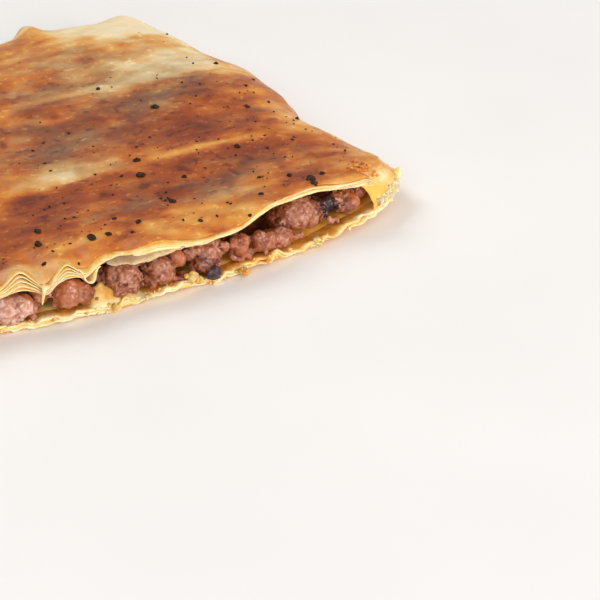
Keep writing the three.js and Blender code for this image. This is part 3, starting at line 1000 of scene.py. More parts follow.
@dataclass(frozen=True)
class Browning:
    """Where the pan browned the crust: patches in the frame's own places, by what they add."""

    start: float = 0.44
    warp: float = 4.0
    fried: Patches = (
        (24, 38, 9, 13, 0.03), (38, 26, 12, 4.0, 0.16), (14, 18, 9, 8, 0.16), (26, -2, 30, 8, 0.26),
        (33, -18, 19, 8, 0.28), (2, -8, 9, 8, 0.14), (-8, -32, 12, 7, 0.20), (12, -33, 10, 6, 0.18),
        (38, -36, 13, 6, 0.14), (4, -43, 24, 5, 0.22), (-24, -42, 10, 7, 0.16), (-34, 20, 16, 10, 0.20),
        (-44, -12, 12, 9, 0.18), (-16, 38, 12, 8, 0.14), (-44, -38, 10, 8, 0.16), (-20, 4, 10, 6, 0.14),
        (50, -43, 6, 2.2, 0.22), (31, 4, 10, 4, 0.12), (42, -30, 7, 6, 0.17), (28, -31, 7, 3, 0.12),
        (28, -37, 6, 4, 0.14), (40, -51, 10, 6, 0.15), (24, -54, 11, 6, 0.05), (-11, -27, 6, 4, 0.20),
        (7, -38, 4, 3, 0.12), (0, 2, 7, 5, 0.10), (0, -56, 9, 3, 0.08), (56, -47, 5, 5, 0.10),
    )
    pale: Patches = (
        (46, 46, 15, 9, 0.70), (58, 30, 4, 22, 0.36), (38, 13, 18, 4.5, 0.14), (30, 54, 30, 3, 0.18),
        (-1, -21, 10, 4.0, 0.26), (32, -27.5, 12, 1.6, 0.20), (14, -21, 5, 2, 0.12),
        (64, -30, 4, 16, 0.40), (60, -52, 10, 8, 0.20), (46, -56, 10, 3, 0.16),
        (28, -56.5, 14, 2.6, 0.16), (0, -58, 60, 2.6, 0.05), (-24, -54, 8, 3.5, 0.16),
        (-30, 56, 20, 4, 0.24), (-58, 10, 5, 14, 0.20), (-30, -4, 8, 4, 0.2), (-58, -40, 5, 10, 0.18),
        (28, 27, 13, 9, 0.03), (44, 24, 8, 9, 0.34), (52, 16, 5, 12, 0.16), (55, -25, 3.5, 18, 0.18),
        (12, -44, 7, 3, 0.14), (0, -50, 5, 3, 0.08),
    )
    glassy: Patches = (
        (0, -22, 12, 5, 0.75), (38, 14, 19, 6, 0.85), (33, 1, 16, 6, 0.80), (12, 14, 9, 6, 0.55),
        (6, -9, 11, 6, 0.60), (44, -17, 10, 3, 0.35), (36, -38, 10, 5, 0.45), (7, -41, 6, 4, 0.60),
        (-5, -44, 5, 3, 0.50), (18, -47, 8, 4, 0.65), (26, -41, 7, 4, 0.55), (-24, -53, 5, 3, 0.60),
        (46, 42, 9, 7, 0.30), (-30, -2, 8, 4, 0.5), (-18, 26, 10, 4, 0.45), (-36, 16, 10, 6, 0.4),
        (-44, -16, 8, 5, 0.45), (28, 27, 14, 10, 0.65), (2, -14, 13, 7, 0.40), (1, 3, 8, 5, 0.60),
        (20, -7, 10, 4, 0.30), (48, 19, 9, 11, 0.55),
    )
    blotches: Grain = field(default_factory=lambda: Grain(29))

    def warped(self, x: Array, y: Array) -> tuple[Array, Array]:
        """Places shifted about, so that the patches get ragged outlines."""
        off_x = self.warp * self.blotches.layers(x / 14, y / 8, 1.5, 4)
        off_y = 0.6 * self.warp * self.blotches.layers(x / 14, y / 8, 9.5, 4)
        return x + off_x, y + off_y

    def values(self, x: Array, y: Array, fine: Array) -> dict[str, Array]:
        """What the fried skin's material reads.

        Args:
            x: places across, in the frame.
            y: places along, in the frame.
            fine: the height of the fine blisters there.

        Returns:
            The values of fry and chill.
        """
        wx, wy = self.warped(x, y)
        fry = self.start + patches(wx, wy, self.fried) - patches(wx, wy, self.pale)
        fry += 0.06 * self.blotches.layers(x / 9, y / 6, 4.4, 2) + 0.22 * fine
        return {"fry": np.clip(fry, 0.0, 1.0), "chill": np.clip(patches(wx, wy, self.glassy), 0.0, 1.0)}


@dataclass(frozen=True)
class Crust:
    """The folded dough: its fried top, its rounded folds, its base and the pocket that the meat fills."""

    form: SliceForm
    browning: Browning
    across: int = 216
    along: int = 196
    top_inset: float = 3.0
    base_inset: float = 6.5
    lift_slope: float = 3.0
    base_rings: int = 7
    wedge_drop: float = 1.7
    wedge_reach: float = 6.2
    shell_behind: float = 1.3
    lip_height: float = 1.15
    out_of_cut: float = 6.0
    pocket_cells: tuple[int, int] = (110, 100)
    least_gap: float = 0.5
    name: str = "crust"

    def wedge(self, x: Array, y: Array) -> Array:
        """How far the shell drops under the leaves towards a cut."""
        front, left = self.form.from_cuts(x, y)
        at_front = (1 - smooth(front, 1.0, self.wedge_reach)) * self.form.open_front(x)
        at_left = (1 - smooth(left, 1.0, self.wedge_reach)) * self.form.open_left(y)
        return self.wedge_drop * np.maximum(at_front, at_left)

    def shell_top(self, x: Array, y: Array) -> Array:
        """Height of the shell's top."""
        return self.form.skin(x, y) - self.wedge(x, y)

    def fold_rows(self, ring: Ring) -> list[tuple[Array, Array]]:
        """Inset and height of each row of points round a folded rim, from the top to the base.

        Args:
            ring: the stations round the rim.

        Returns:
            The two numbers of each row, for every station.
        """
        form = self.form
        lift = form.rim_lift(ring.x, ring.y)
        high = form.top(*form.inset(ring.x, ring.y, self.top_inset))
        angles = np.radians([64, 50, 36, 22, 8, -6, -20, -36, -54, -74])
        arc_start = form.rim_radius * (1 - np.cos(angles[0]))
        low = form.rim_middle + lift + form.rim_radius * np.sin(angles[0])
        rows = []
        for share in (0.3, 0.62):
            inset = lerp(self.top_inset, arc_start, share)
            rows.append((np.full(len(ring), inset), lerp(high, low, share**0.9)))
        for angle in angles:
            inset = form.rim_radius * (1 - np.cos(angle))
            rows.append((np.full(len(ring), inset), form.rim_middle + lift + form.rim_radius * np.sin(angle)))
        rows.append((2.6 + 0.35 * self.lift_slope * form.tip_curl(ring.x, ring.y), 0.12 + 0.6 * lift))
        return rows

    def cut_rows(self, ring: Ring) -> list[tuple[Array, Array]]:
        """Inset and height of the same rows at a cut, behind the leaves of both crusts.

        Args:
            ring: the stations round the rim.

        Returns:
            The two numbers of each row, for every station.
        """
        form = self.form
        edge = ring.back + self.shell_behind
        top = form.top(*form.inset(ring.x, ring.y, edge))
        shelf = self.shell_top(*form.inset(ring.x, ring.y, edge))
        lift = form.curl(ring.along) + form.tip_curl(ring.x, ring.y)
        ceiling = top - form.crust
        lip = lift + self.lip_height
        behind = self.shell_behind * 0.6
        return [
            (edge + 1.0, self.shell_top(*form.inset(ring.x, ring.y, edge + 1.0))),
            (edge + 0.3, shelf),
            (edge, shelf - 0.12),
            (edge, ceiling - 0.1),
            (edge + 0.1, ceiling - 0.9),
            (edge + 0.1, lerp(ceiling, lip, 0.4)),
            (np.maximum(edge * 0.7, behind), lerp(ceiling, lip, 0.65)),
            (np.full(len(ring), behind + 0.1), lip + 0.9),
            (np.full(len(ring), behind), lip + 0.1),
            (np.full(len(ring), behind), lerp(lip, lift, 0.4)),
            (np.full(len(ring), behind + 0.1), lift + 0.2),
            (np.full(len(ring), behind + 0.4), lift * 0.9 + 0.06),
            (2.6 + 0.35 * self.lift_slope * form.tip_curl(ring.x, ring.y), 0.35 * lift),
        ]

    def shell(self) -> Piece:
        """The dough as if it were solid.

        Returns:
            A closed mesh of its top, its rim and its flat base.
        """
        form = self.form
        ring = form.ring(self.across, self.along)
        count = len(ring)
        rim_inset = self.top_inset + ring.back
        rows = [form.inset(ring.x, ring.y, rim_inset)]
        heights = [self.shell_top(*rows[0])]
        for fold, cut in zip(self.fold_rows(ring), self.cut_rows(ring)):
            inset = lerp(fold[0], cut[0], ring.cut)
            rows.append(form.inset(ring.x, ring.y, inset))
            heights.append(lerp(fold[1], cut[1], ring.cut))
        start = self.base_inset + self.lift_slope * form.tip_curl(ring.x, ring.y)
        for share in np.linspace(0, 1, self.base_rings + 1)[:-1] ** 1.3:
            inset = lerp(start, form.back - 1.0, share)
            rows.append(form.inset(ring.x, ring.y, inset))
            heights.append(np.zeros(count))
        rim = np.concatenate([form.points(x, y, z) for (x, y), z in zip(rows, heights)])
        faces = grid_faces(len(rows), count, closed=True)
        faces = [(a, d, c, b) for a, b, c, d in faces]
        last = (len(rows) - 1) * count
        faces.append(tuple(range(last, last + count))[::-1])

        inner, numbers = self._top_grid(ring, len(rim))
        quads = np.stack([numbers[:-1, :-1], numbers[1:, :-1], numbers[1:, 1:], numbers[:-1, 1:]], axis=-1)
        faces.extend(quads.reshape(-1, 4).tolist())
        obj = make_object(self.name, np.concatenate([rim, inner]), faces)
        face_outwards(obj)
        return obj

    def _top_grid(self, ring: Ring, first: int) -> tuple[Array, Array]:
        """Points of the top within the ring, and the numbers of the whole grid's points.

        Args:
            ring: the stations round the rim.
            first: the number of the first new point.

        Returns:
            The new points, and the number of every point of the grid.
        """
        form = self.form
        m, n = self.across, self.along
        x, y = form.inset(ring.x, ring.y, self.top_inset + ring.back)
        edge = np.stack([x, y], axis=1)
        front, right = edge[: m + 1], edge[m : m + n + 1]
        back = edge[m + n : 2 * m + n + 1][::-1]
        left = np.concatenate([edge[2 * m + n :], edge[:1]])[::-1]
        u = np.linspace(0, 1, m + 1)[:, None, None]
        v = np.linspace(0, 1, n + 1)[None, :, None]
        ruled = lerp(left[None], right[None], u) + lerp(front[:, None], back[:, None], v)
        corners = lerp(lerp(front[0], front[-1], u), lerp(back[0], back[-1], u), v)
        grid = (ruled - corners)[1:-1, 1:-1]
        gx, gy = grid[..., 0], grid[..., 1]
        numbers = np.empty((m + 1, n + 1), int)
        numbers[:, 0] = np.arange(m + 1)
        numbers[-1, :] = np.arange(m, m + n + 1)
        numbers[:, -1] = np.arange(m + n, 2 * m + n + 1)[::-1]
        numbers[0, :] = np.append(np.arange(2 * m + n, 2 * m + 2 * n), 0)[::-1]
        numbers[1:-1, 1:-1] = first + np.arange(gx.size).reshape(gx.shape)
        return form.points(gx, gy, self.shell_top(gx, gy)), numbers

    def pocket(self) -> Piece:
        """A slab that fills the pocket and stands out of both cuts.

        Returns:
            The closed slab.
        """
        form = self.form
        cells_x, cells_y = self.pocket_cells
        end = form.pocket_inset
        u = 1 - (1 - np.linspace(0, 1, cells_x + 1)) ** 1.2
        v = 1 - (1 - np.linspace(0, 1, cells_y + 1)) ** 1.2
        left, front = form.left - self.out_of_cut, form.front - self.out_of_cut
        across = np.repeat(u[:, None], cells_y + 1, axis=1)
        y = lerp(front, form.pocket_back(lerp(left, form.right - end, across), end), v[None, :])
        x = lerp(left, form.pocket_right(y, end), across)
        wx, wy = np.maximum(x, form.left), np.maximum(y, form.front)
        to_end = np.minimum(form.pocket_right(y, end) - x, form.pocket_back(x, end) - y)
        opened = np.sqrt(smooth(to_end, -1, 5))
        depth = np.minimum(wx - form.left, wy - form.front)
        wrinkle = 0.12 * form.blisters.layers(wx / 4, wy / 4, 21.0, 3)
        floor = lerp(self.lip_height + 0.1, form.crust, smooth(depth, 0.5, 6.0)) + wrinkle
        floor = floor + form.rim_lift(wx, wy)
        roof = form.top(wx, wy) - form.crust + wrinkle
        high = lerp(floor + self.least_gap, np.maximum(floor + self.least_gap, roof), opened)
        sx, sy = form.settle(wx, wy)
        sx, sy = sx + np.minimum(x - form.left, 0), sy + np.minimum(y - form.front, 0)
        low_points = np.stack([sx.ravel(), sy.ravel(), floor.ravel()], axis=1)
        high_points = np.stack([sx.ravel(), sy.ravel(), high.ravel()], axis=1)
        return slab("pocket", low_points, high_points, x.shape)

    def dress(self, obj: Piece, material: Material) -> None:
        """Writes what the material reads and puts it on.

        Args:
            obj: the crust.
            material: its material.
        """
        form = self.form
        normals = read_normals(obj)
        x, y, z = read_points(obj).T
        flat_x, flat_y = form.unsettle(x, y)
        values = self.browning.values(x, y, form.fine(flat_x, flat_y))
        inner = (z > 0.9) & (z < form.top(flat_x, flat_y) - 0.75 * form.crust) & (np.abs(normals[:, 2]) > 0.2)
        inner &= np.minimum(form.right - flat_x, form.back - flat_y) > form.pocket_inset - 1.5
        from_cut = np.minimum(*form.from_cuts(flat_x, flat_y))
        below = form.top(flat_x, flat_y) - z
        wall = (from_cut < 3.0) & (below > 0.5) & (z > 0.3)
        from_tip = np.hypot(flat_x - form.right, flat_y - form.front)
        by_tip = 1 - smooth(from_tip, 16.0, 22.0)
        at_tip = by_tip * smooth(below, 1.0, 2.4) * smooth(from_tip, 10.0, 13.0) * (z > 0.3)
        values["inner"] = np.maximum(inner | wall, at_tip)
        values["fry"] = values["fry"] * (1 - 0.5 * by_tip * smooth(below, 0.4, 2.0))
        grease = 0.20 + 0.32 * smooth(flat_x, 0, 24) + 0.12 * smooth(from_cut, 2.0, 10.0)
        values["grease"] = np.where(wall & (z > 5) & (by_tip < 0.5), 0.05, grease - 0.06 * by_tip)
        for key, number in values.items():
            write_attribute(obj, key, number)
        obj.data.materials.clear()
        obj.data.materials.append(material)

    def dress_edge(self, obj: Piece) -> None:
        """Writes what the fried skin reads onto a leaf of the same skin.

        Args:
            obj: the leaf.
        """
        x, y, _ = read_points(obj).T
        values = self.browning.values(x, y, self.form.fine(*self.form.unsettle(x, y)))
        values |= {"inner": np.zeros(len(x)), "grease": np.zeros(len(x))}
        for key, number in values.items():
            write_attribute(obj, key, number)

    def build(self, material: Material) -> Piece:
        """Makes the crust with its pocket cut out."""
        obj = self.shell()
        cut_away(obj, self.pocket())
        self.dress(obj, material)
        return obj


# ---- The leaves at the cuts ----
@dataclass(frozen=True)
class Leaf:
    """One thin leaf of dough: how far in its torn edge lies, how ragged and how coloured it is."""

    reach: float
    ragged: float
    tone: float
    steps: Swells = ()


@dataclass(frozen=True)
class LeafStack:
    """Thin leaves of one crust where the knife opened it, from its outside inwards."""

    form: SliceForm
    side: Side
    name: str
    leaves: tuple[Leaf, ...]
    under: int = 0
    thickness: float = 0.24
    slack: float = 0.05
    spread: float = 0.16
    back_at: float = 7.5
    edge_reach: float = 4.5
    least_droop: float = 0.7
    droops: Swells = ()
    crowns: Swells = ()
    nose: float = 0.09
    dying: float = 3.0
    tip_frill: float = 0.0
    inward: float = 0.0
    oiliness: float = 0.2
    oily: Swells = ()
    rows: int = 10
    seed: int = 5
    across: int = 250
    along: int = 228

    def path(self) -> Ring:
        """Stations along both cuts, from the back left tip round the front left corner to the right tip."""
        ring = self.form.ring(self.across, self.along)
        left = np.arange(2 * self.across + self.along, len(ring))
        front = np.arange(self.across + self.along // 10)
        return ring.take(np.concatenate([left, front]))

    def edge(self, path: Ring, run: Array, n: int, noise: Grain) -> Array:
        """How far inside the cut a leaf's torn edge lies.

        Args:
            path: the stations along the cuts.
            run: distance along the cuts.
            n: the leaf's number.
            noise: the stack's noise.

        Returns:
            The distance at every station.
        """
        leaf = self.leaves[n]
        recess = path.back if self.side is Side.UPPER else np.zeros(len(path))
        waves = noise.layers(run / 6.5, np.full_like(run, 3.1 * n), 0.3, 3)
        nicks = np.abs(noise(run / 1.3, np.full_like(run, 7.7 * n), 5.0))
        reach = np.maximum(leaf.reach + swell(path.along, leaf.steps), 0.0) + self.dying * (1 - path.cut)
        return recess + reach + leaf.ragged * (0.8 * waves + 0.4 * nicks)

    def build(self, material: Material) -> Piece:
        """Makes all the leaves of the stack as one piece.

        Args:
            material: the material it's made of.

        Returns:
            The piece, with tone and wan stored on it.
        """
        noise = Grain(self.seed)
        path = self.path()
        run = np.concatenate([[0.0], np.cumsum(np.hypot(np.diff(path.x), np.diff(path.y)))])
        shares = np.linspace(0, 1, self.rows) ** 1.4
        recess = path.back * (self.side is Side.UPPER)
        crown = swell(path.along, self.crowns)
        depth = np.full((len(path), self.rows), self.under * (self.thickness + self.slack))
        vertices, faces, tones = [], [], []
        total = 0
        for n, leaf in enumerate(self.leaves):
            edge = self.edge(path, run, n, noise)
            insets = lerp(edge[:, None], (self.back_at + recess)[:, None], shares[None, :])
            local = insets - recess[:, None]
            near = 1 - smooth(local, 0.0, self.edge_reach)
            along = run[:, None] + np.zeros_like(insets)
            gap = np.maximum(noise.layers(along / 5.0, along * 0 + 11.3 * n, local / 6.0, 2) + 0.25, 0.0)
            opened = (self.spread * gap + crown[:, None]) * near
            depth = depth + (n > 0) * (self.thickness + self.slack + opened)
            x, y = self.form.inset(path.x[:, None], path.y[:, None], insets)
            top = self.surface(path, x, y, near, local, depth, noise, along)
            thick = self.thickness * (0.7 + 0.3 * smooth(insets - edge[:, None], 0, 0.8))
            section = self.section(path, (x, y), top, thick, edge)
            columns = section.shape[1]
            vertices.append(section.reshape(-1, 3))
            faces += grid_faces(len(path), columns, closed=True, first=total)
            faces.append(tuple(range(total, total + columns)))
            end = total + (len(path) - 1) * columns
            faces.append(tuple(range(end, end + columns))[::-1])
            total += len(path) * columns
            patchy = 0.5 * self.oiliness * noise.layers(run / 7.0, np.full_like(run, 3.7 * n), 31.0, 2)
            oily = np.clip(swell(path.along, self.oily) + patchy, -0.3, 0.6)
            tones.append(self.tone(leaf, insets - edge[:, None], oily[:, None]))
        tone = np.concatenate(tones)
        look = {"tone": tone, "wan": np.zeros(len(tone))}
        obj = make_object(self.name, np.concatenate(vertices), faces, look)
        face_outwards(obj)
        obj.data.materials.append(material)
        return obj

    def section(self, path: Ring, place: tuple[Array, Array], top: Array, thick: Array, edge: Array) -> Array:
        """Points round a leaf: back along its top, round its edge and along its underside.

        Args:
            path: the stations along the cuts.
            place: places across and along, a row for each station.
            top: height of its top there.
            thick: its thickness there.
            edge: how far in its torn edge lies.

        Returns:
            A row of points for each station.
        """
        nose_x, nose_y = self.form.inset(path.x, path.y, edge - self.nose)
        upper = self.form.points(*place, top).reshape(*top.shape, 3)
        lower = self.form.points(*place, top - thick).reshape(*top.shape, 3)
        nose = self.form.points(nose_x, nose_y, top[:, 0] - thick[:, 0] / 2)[:, None]
        return np.concatenate([upper[:, ::-1], nose, lower], axis=1)

    def surface(
        self, path: Ring, x: Array, y: Array, near: Array, local: Array, depth: Array, noise: Grain,
        run: Array,
    ) -> Array:
        """Height of a leaf's top surface.

        Args:
            path: the stations.
            x: places across, a row for each station.
            y: places along.
            near: 1 at the cut, dying away inwards.
            local: distance from the cut.
            depth: how far the leaf lies under its crust's outside.
            noise: the stack's noise.
            run: distance along the cuts.

        Returns:
            The heights.
        """
        form = self.form
        flutter = noise.layers(run / 4.2, np.full_like(run, 23.0), 0.0, 2)
        if self.side is Side.UPPER:
            droop = (self.least_droop + swell(path.along, self.droops))[:, None] * near**1.5
            lift = 0.6 * len(self.leaves) * swell(path.along, self.crowns)[:, None] * near
            tuck = 1.6 * (1 - path.cut[:, None])
            sink = 0.45 * smooth(local, self.back_at - 2.2, self.back_at)
            height = form.skin(x, y) + 0.05 - depth - droop + lift - tuck - sink
            return height + 0.16 * flutter * near
        floor = form.curl(path.along)[:, None] * (1 - smooth(local, 0.5, 6.0)) + form.tip_curl(x, y)
        frill = 1.7 + self.tip_frill * (1 - path.cut[:, None])
        curled = frill * np.maximum(flutter, -0.15) * (1 - smooth(local, 0.0, 2.2))
        return floor + self.thickness + 0.06 + depth + curled + 0.3 * (1 - path.cut[:, None])

    def tone(self, leaf: Leaf, behind: Array, oily: Array) -> Array:
        """How yellow a leaf is, from its cream edge backwards, and yellower where it is oily.

        Args:
            leaf: the leaf.
            behind: distance from its torn edge, a row for each station.
            oily: how oily each station is.

        Returns:
            The tone of each point round the leaf.
        """
        top = lerp(leaf.tone * 0.4, leaf.tone, smooth(behind, 0.0, 1.1))
        top = top + self.inward * smooth(behind, 0.3, 1.4) + oily
        nose = np.full((len(behind), 1), leaf.tone * 0.2) + 0.7 * oily
        return np.clip(np.concatenate([top[:, ::-1], nose, top * 0.9], axis=1), 0.0, 0.8).reshape(-1)


# ---- The minced meat ----
@dataclass(frozen=True)
class Lump:
    """One lump of meat: its middle, its radius, and how dark and how stained it is."""

    x: float
    y: float
    z: float
    radius: float
    tone: float
    stain: float


class PointTree(NodeBuilder):
    """A Geometry Nodes tree that works on a mesh of points, with named inputs."""

    def __init__(self, name: str) -> None:
        """Starts the tree with its geometry in and out.

        Args:
            name: the tree's name.
        """
        super().__init__(bpy.data.node_groups.new(name, "GeometryNodeTree"))
        for way in ("INPUT", "OUTPUT"):
            self.tree.interface.new_socket("Geometry", in_out=way, socket_type="NodeSocketGeometry")
        self.start = self.tree.nodes.new("NodeGroupInput")
        self.end = self.tree.nodes.new("NodeGroupOutput")
        self.ids: dict[str, str] = {}

    def input(self, name: str, kind: str) -> Socket:
        """Adds a named input and gives its socket."""
        item = self.tree.interface.new_socket(name, in_out="INPUT", socket_type=kind)
        self.ids[name] = item.identifier
        return self.start.outputs[name]

    def named(self, key: str) -> Socket:
        """The number stored on each point under this name."""
        node = self.node("GeometryNodeInputNamedAttribute", {"Name": key}, data_type="FLOAT")
        return node.outputs["Attribute"]

    def close(self, geometry: Socket, material: Socket) -> None:
        """Puts the material on and gives the tree its result."""
        dressed = self.node("GeometryNodeSetMaterial", {"Geometry": geometry, "Material": material})
        self.tree.links.new(dressed.outputs[0], self.end.inputs[0])

    def apply(self, obj: Piece, values: dict[str, object]) -> None:
        """Runs the tree on an object and keeps the result as its plain mesh.

        Args:
            obj: the mesh of points, which becomes the result.
            values: a value for each named input.
        """
        modifier = obj.modifiers.new(self.tree.name, "NODES")
        modifier.node_group = self.tree
        for name, value in values.items():
            modifier[self.ids[name]] = value
        bake_modifiers(obj)


def granule_tree() -> PointTree:
    """Melts granules, given as points with a size, into one skin.

    Returns:
        A tree with the inputs Voxel, Level and Material. It works in millimetres and ends in metres.
    """
    tree = PointTree("granules")
    voxel = tree.input("Voxel", "NodeSocketFloat")
    level = tree.input("Level", "NodeSocketFloat")
    material = tree.input("Material", "NodeSocketMaterial")
    size = tree.named("size")
    points = tree.node("GeometryNodeMeshToPoints", {"Mesh": tree.start.outputs[0], "Radius": size})
    values = {"Points": points.outputs[0], "Density": 1.0, "Voxel Size": voxel, "Radius": size}
    volume = tree.node("GeometryNodePointsToVolume", values, resolution_mode="VOXEL_SIZE")
    values = {"Volume": volume.outputs[0], "Voxel Size": voxel, "Threshold": level}
    mesh = tree.node("GeometryNodeVolumeToMesh", values, resolution_mode="VOXEL_SIZE")
    real = tree.node("GeometryNodeRealizeInstances", {"Geometry": mesh.outputs[0]})
    small = tree.node("GeometryNodeTransform", {"Geometry": real.outputs[0], "Scale": (MM, MM, MM)})
    tree.close(small.outputs[0], material)
    return tree


def crumb_tree() -> PointTree:
    """Sets a crushed grain on every point, turned and sized at random.

    Returns:
        A tree with the inputs Seed, Flatness, Crush and Material.
    """
    tree = PointTree("crumbs")
    seed = tree.input("Seed", "NodeSocketInt")
    flatness = tree.input("Flatness", "NodeSocketFloat")
    crush = tree.input("Crush", "NodeSocketFloat")
    material = tree.input("Material", "NodeSocketMaterial")
    grain = tree.node("GeometryNodeMeshIcoSphere", {"Radius": 1.0, "Subdivisions": 2})
    points = tree.node("GeometryNodeMeshToPoints", {"Mesh": tree.start.outputs[0]})
    turns = {0: (-0.5, -0.5, 0.0), 1: (0.5, 0.5, 2 * math.pi), "Seed": seed}
    turn = tree.node("FunctionNodeRandomValue", turns, data_type="FLOAT_VECTOR")
    size = tree.named("size")
    high = tree.node("ShaderNodeMath", {0: size, 1: flatness}, operation="MULTIPLY")
    scale = tree.node("ShaderNodeCombineXYZ", {0: size, 1: size, 2: high.outputs[0]})
    values = {"Points": points.outputs[0], "Instance": grain.outputs[0]}
    values |= {"Scale": scale.outputs[0], "Rotation": turn.outputs[0]}
    placed = tree.node("GeometryNodeInstanceOnPoints", values)
    real = tree.node("GeometryNodeRealizeInstances", {"Geometry": placed.outputs[0]})
    wild = tree.node("ShaderNodeTexNoise", {"Scale": CRUSH_CELLS, "Detail": 1.0})
    middle = {0: wild.outputs["Color"], 1: (0.5, 0.5, 0.5)}
    centred = tree.node("ShaderNodeVectorMath", middle, operation="SUBTRACT")
    push = tree.node("ShaderNodeVectorMath", {0: centred.outputs[0], "Scale": crush}, operation="SCALE")
    crushed = tree.node("GeometryNodeSetPosition", {"Geometry": real.outputs[0], "Offset": push.outputs[0]})
    tree.close(crushed.outputs[0], material)
    return tree


@dataclass(frozen=True)
class Keema:
    """The filling: lumps that show at the two cuts, melted from granules, over a packed core."""

    form: SliceForm
    front_lumps: tuple[tuple[float, float, float, float, float, float], ...] = (
        # x, height, radius, how far it stands out, tone, stain
        (-60, 5.4, 3.6, 0.2, 0.60, 0.2), (-52, 5.2, 3.9, 0.6, 0.68, 0.1),
        (-44.5, 5.0, 3.3, -0.4, 0.55, 0.4), (-37, 5.6, 3.2, 0.1, 0.62, 0.2),
        (-28, 4.4, 3.8, 2.2, 0.86, 0.0), (-22, 6.2, 2.8, -0.6, 0.60, 0.3),
        (-16.5, 5.2, 3.7, 0.5, 0.68, 0.8), (-5.5, 5.3, 3.8, 0.3, 0.60, 0.1),
        (1, 5.1, 3.9, 0.5, 0.58, 0.2), (11.8, 6.4, 4.2, -0.3, 0.58, 0.1),
        (10.6, 4.4, 2.2, 0.5, 0.34, 0.1), (11.8, 2.9, 2.02, 2.2, 0.0, 0.0),
        (19.5, 4.2, 2.4, -0.8, 0.50, 0.6), (25, 3.9, 2.1, -0.6, 0.52, 0.7),
        (29.5, 4.1, 2.2, -0.3, 0.70, 0.3), (35.5, 6.0, 4.5, -0.9, 0.62, 0.1),
        (42, 5.6, 2.7, -2.2, 0.0, 0.0), (42.0, 3.5, 1.1, -1.2, 0.78, 0.2),
        (43.3, 3.3, 0.9, -0.8, 0.70, 0.2), (46.5, 5.4, 3.0, -1.8, 0.62, 0.6),
        (50.5, 6.2, 3.0, -3, 0.60, 0.5),
    )
    left_lumps: int = 16
    inner_lumps: int = 26
    bare: Swells = ((-9.5, 4.0, 2.6), (35.5, 4.0, 4.0), (42, 3.0, 2.5), (-32, -1.2, 16), (5, -0.8, 6))
    hollow_front: Swells = ((25, 3.5, 6.0),)
    mush: int = 56
    scraps: int = 18
    crumble: int = 90
    crumbled: Swells = ((-45, 1.0, 14), (-25, 0.5, 5), (-12, 1.0, 7), (1, 1.2, 6), (17, 1.0, 7), (30, 1.0, 5))
    crumble_end: float = 34.0
    blobs: int = 5
    core_recess: float = 9.5
    core_clearance: float = 0.25
    core_cells: tuple[int, int] = (60, 56)
    core_tone: float = 0.25
    # painted shade, laid evenly over the whole core
    core_painted_shade: float = 0.3
    core_stain: float = 0.4
    granule: tuple[float, float] = (0.30, 0.50)
    voxel: float = 0.28
    level: float = 0.30
    least_island: int = 400
    seed: int = 71

    def pressed(self, radius: float) -> float:
        """How much a lump of this radius is pressed flat between the crusts."""
        return min(1.0, (self.form.height - 2 * self.form.crust - 0.7) / (2 * radius))

    def lump(
        self, x: float, y: float, z: float, radius: float, tone: float, stain: float, curled: bool = True,
    ) -> Lump:
        """A lump where the bread carries it once it has settled.

        Args:
            x: its place across, before the bread settles.
            y: its place along.
            z: its height.
            radius: its radius.
            tone: how dark it is.
            stain: how stained it is.
            curled: whether it rises with the curled tip.

        Returns:
            The lump.
        """
        place = np.array(float(x)), np.array(float(y))
        if curled:
            z += float(self.form.tip_curl(*place))
        settled_x, settled_y = self.form.settle(*place)
        return Lump(float(settled_x), float(settled_y), z, radius, tone, stain)

    def behind_cut(
        self, along_left: bool, share: float, behind: float, margins: tuple[float, float], gaps: Swells,
    ) -> tuple[float, float]:
        """A place behind one of the cuts.

        Args:
            along_left: whether it's the left cut.
            share: how far along the cut, from 0 to 1.
            behind: how far behind the cut.
            margins: what stays free at the start and before the fold.
            gaps: where the place lies further behind the front cut.

        Returns:
            Its place across and along.
        """
        form, (start, end) = self.form, margins
        if along_left:
            return form.left + behind, lerp(form.front + start, form.back - form.meat_inset - end, share)
        x = lerp(form.left + start, form.right - form.meat_inset - end, share)
        return x, form.front + behind + float(swell(x, gaps))

    def front_row(self) -> list[Lump]:
        """The lumps that show at the front cut.

        Returns:
            The lumps, from the left to the right.
        """
        row = []
        for x, z, radius, out, tone, stain in self.front_lumps:
            lump = self.lump(x, self.form.front, z, radius, tone, stain)
            row.append(replace(lump, y=lump.y + radius - out))
        return row

    def left_row(self) -> list[Lump]:
        """The lumps that show at the left cut, spread by rule.

        Returns:
            The lumps, from the front to the back.
        """
        row = []
        for n in range(self.left_lumps):
            share = (n + 0.5 * chance(n, 11)) / self.left_lumps
            y = lerp(self.form.front + 7, self.form.back - self.form.meat_inset - 3, share)
            radius = lerp(2.8, 4.4, chance(n, 12))
            out = lerp(-0.6, 1.3, chance(n, 13))
            z = lerp(4.8, 6.0, chance(n, 14))
            tone = lerp(0.35, 0.8, chance(n, 15))
            lump = self.lump(self.form.left, y, z, radius, tone, chance(n, 16), curled=False)
            row.append(replace(lump, x=lump.x + radius - out))
        return row

    def inner_row(self) -> list[Lump]:
        """A second row behind the first, alternately along the front and the left cut.

        Returns:
            The lumps; the odd ones lie along the left cut.
        """
        row = []
        for n in range(self.inner_lumps):
            share = (n + chance(n, 21)) / self.inner_lumps
            behind = lerp(5.0, 7.5, chance(n, 22))
            x, y = self.behind_cut(n % 2 == 1, share, behind, (6, 6), self.hollow_front)
            z = lerp(4.6, 6.6, chance(n, 23))
            row.append(self.lump(x, y, z, lerp(2.6, 3.8, chance(n, 24)), 0.34, 0.4, curled=False))
        return row

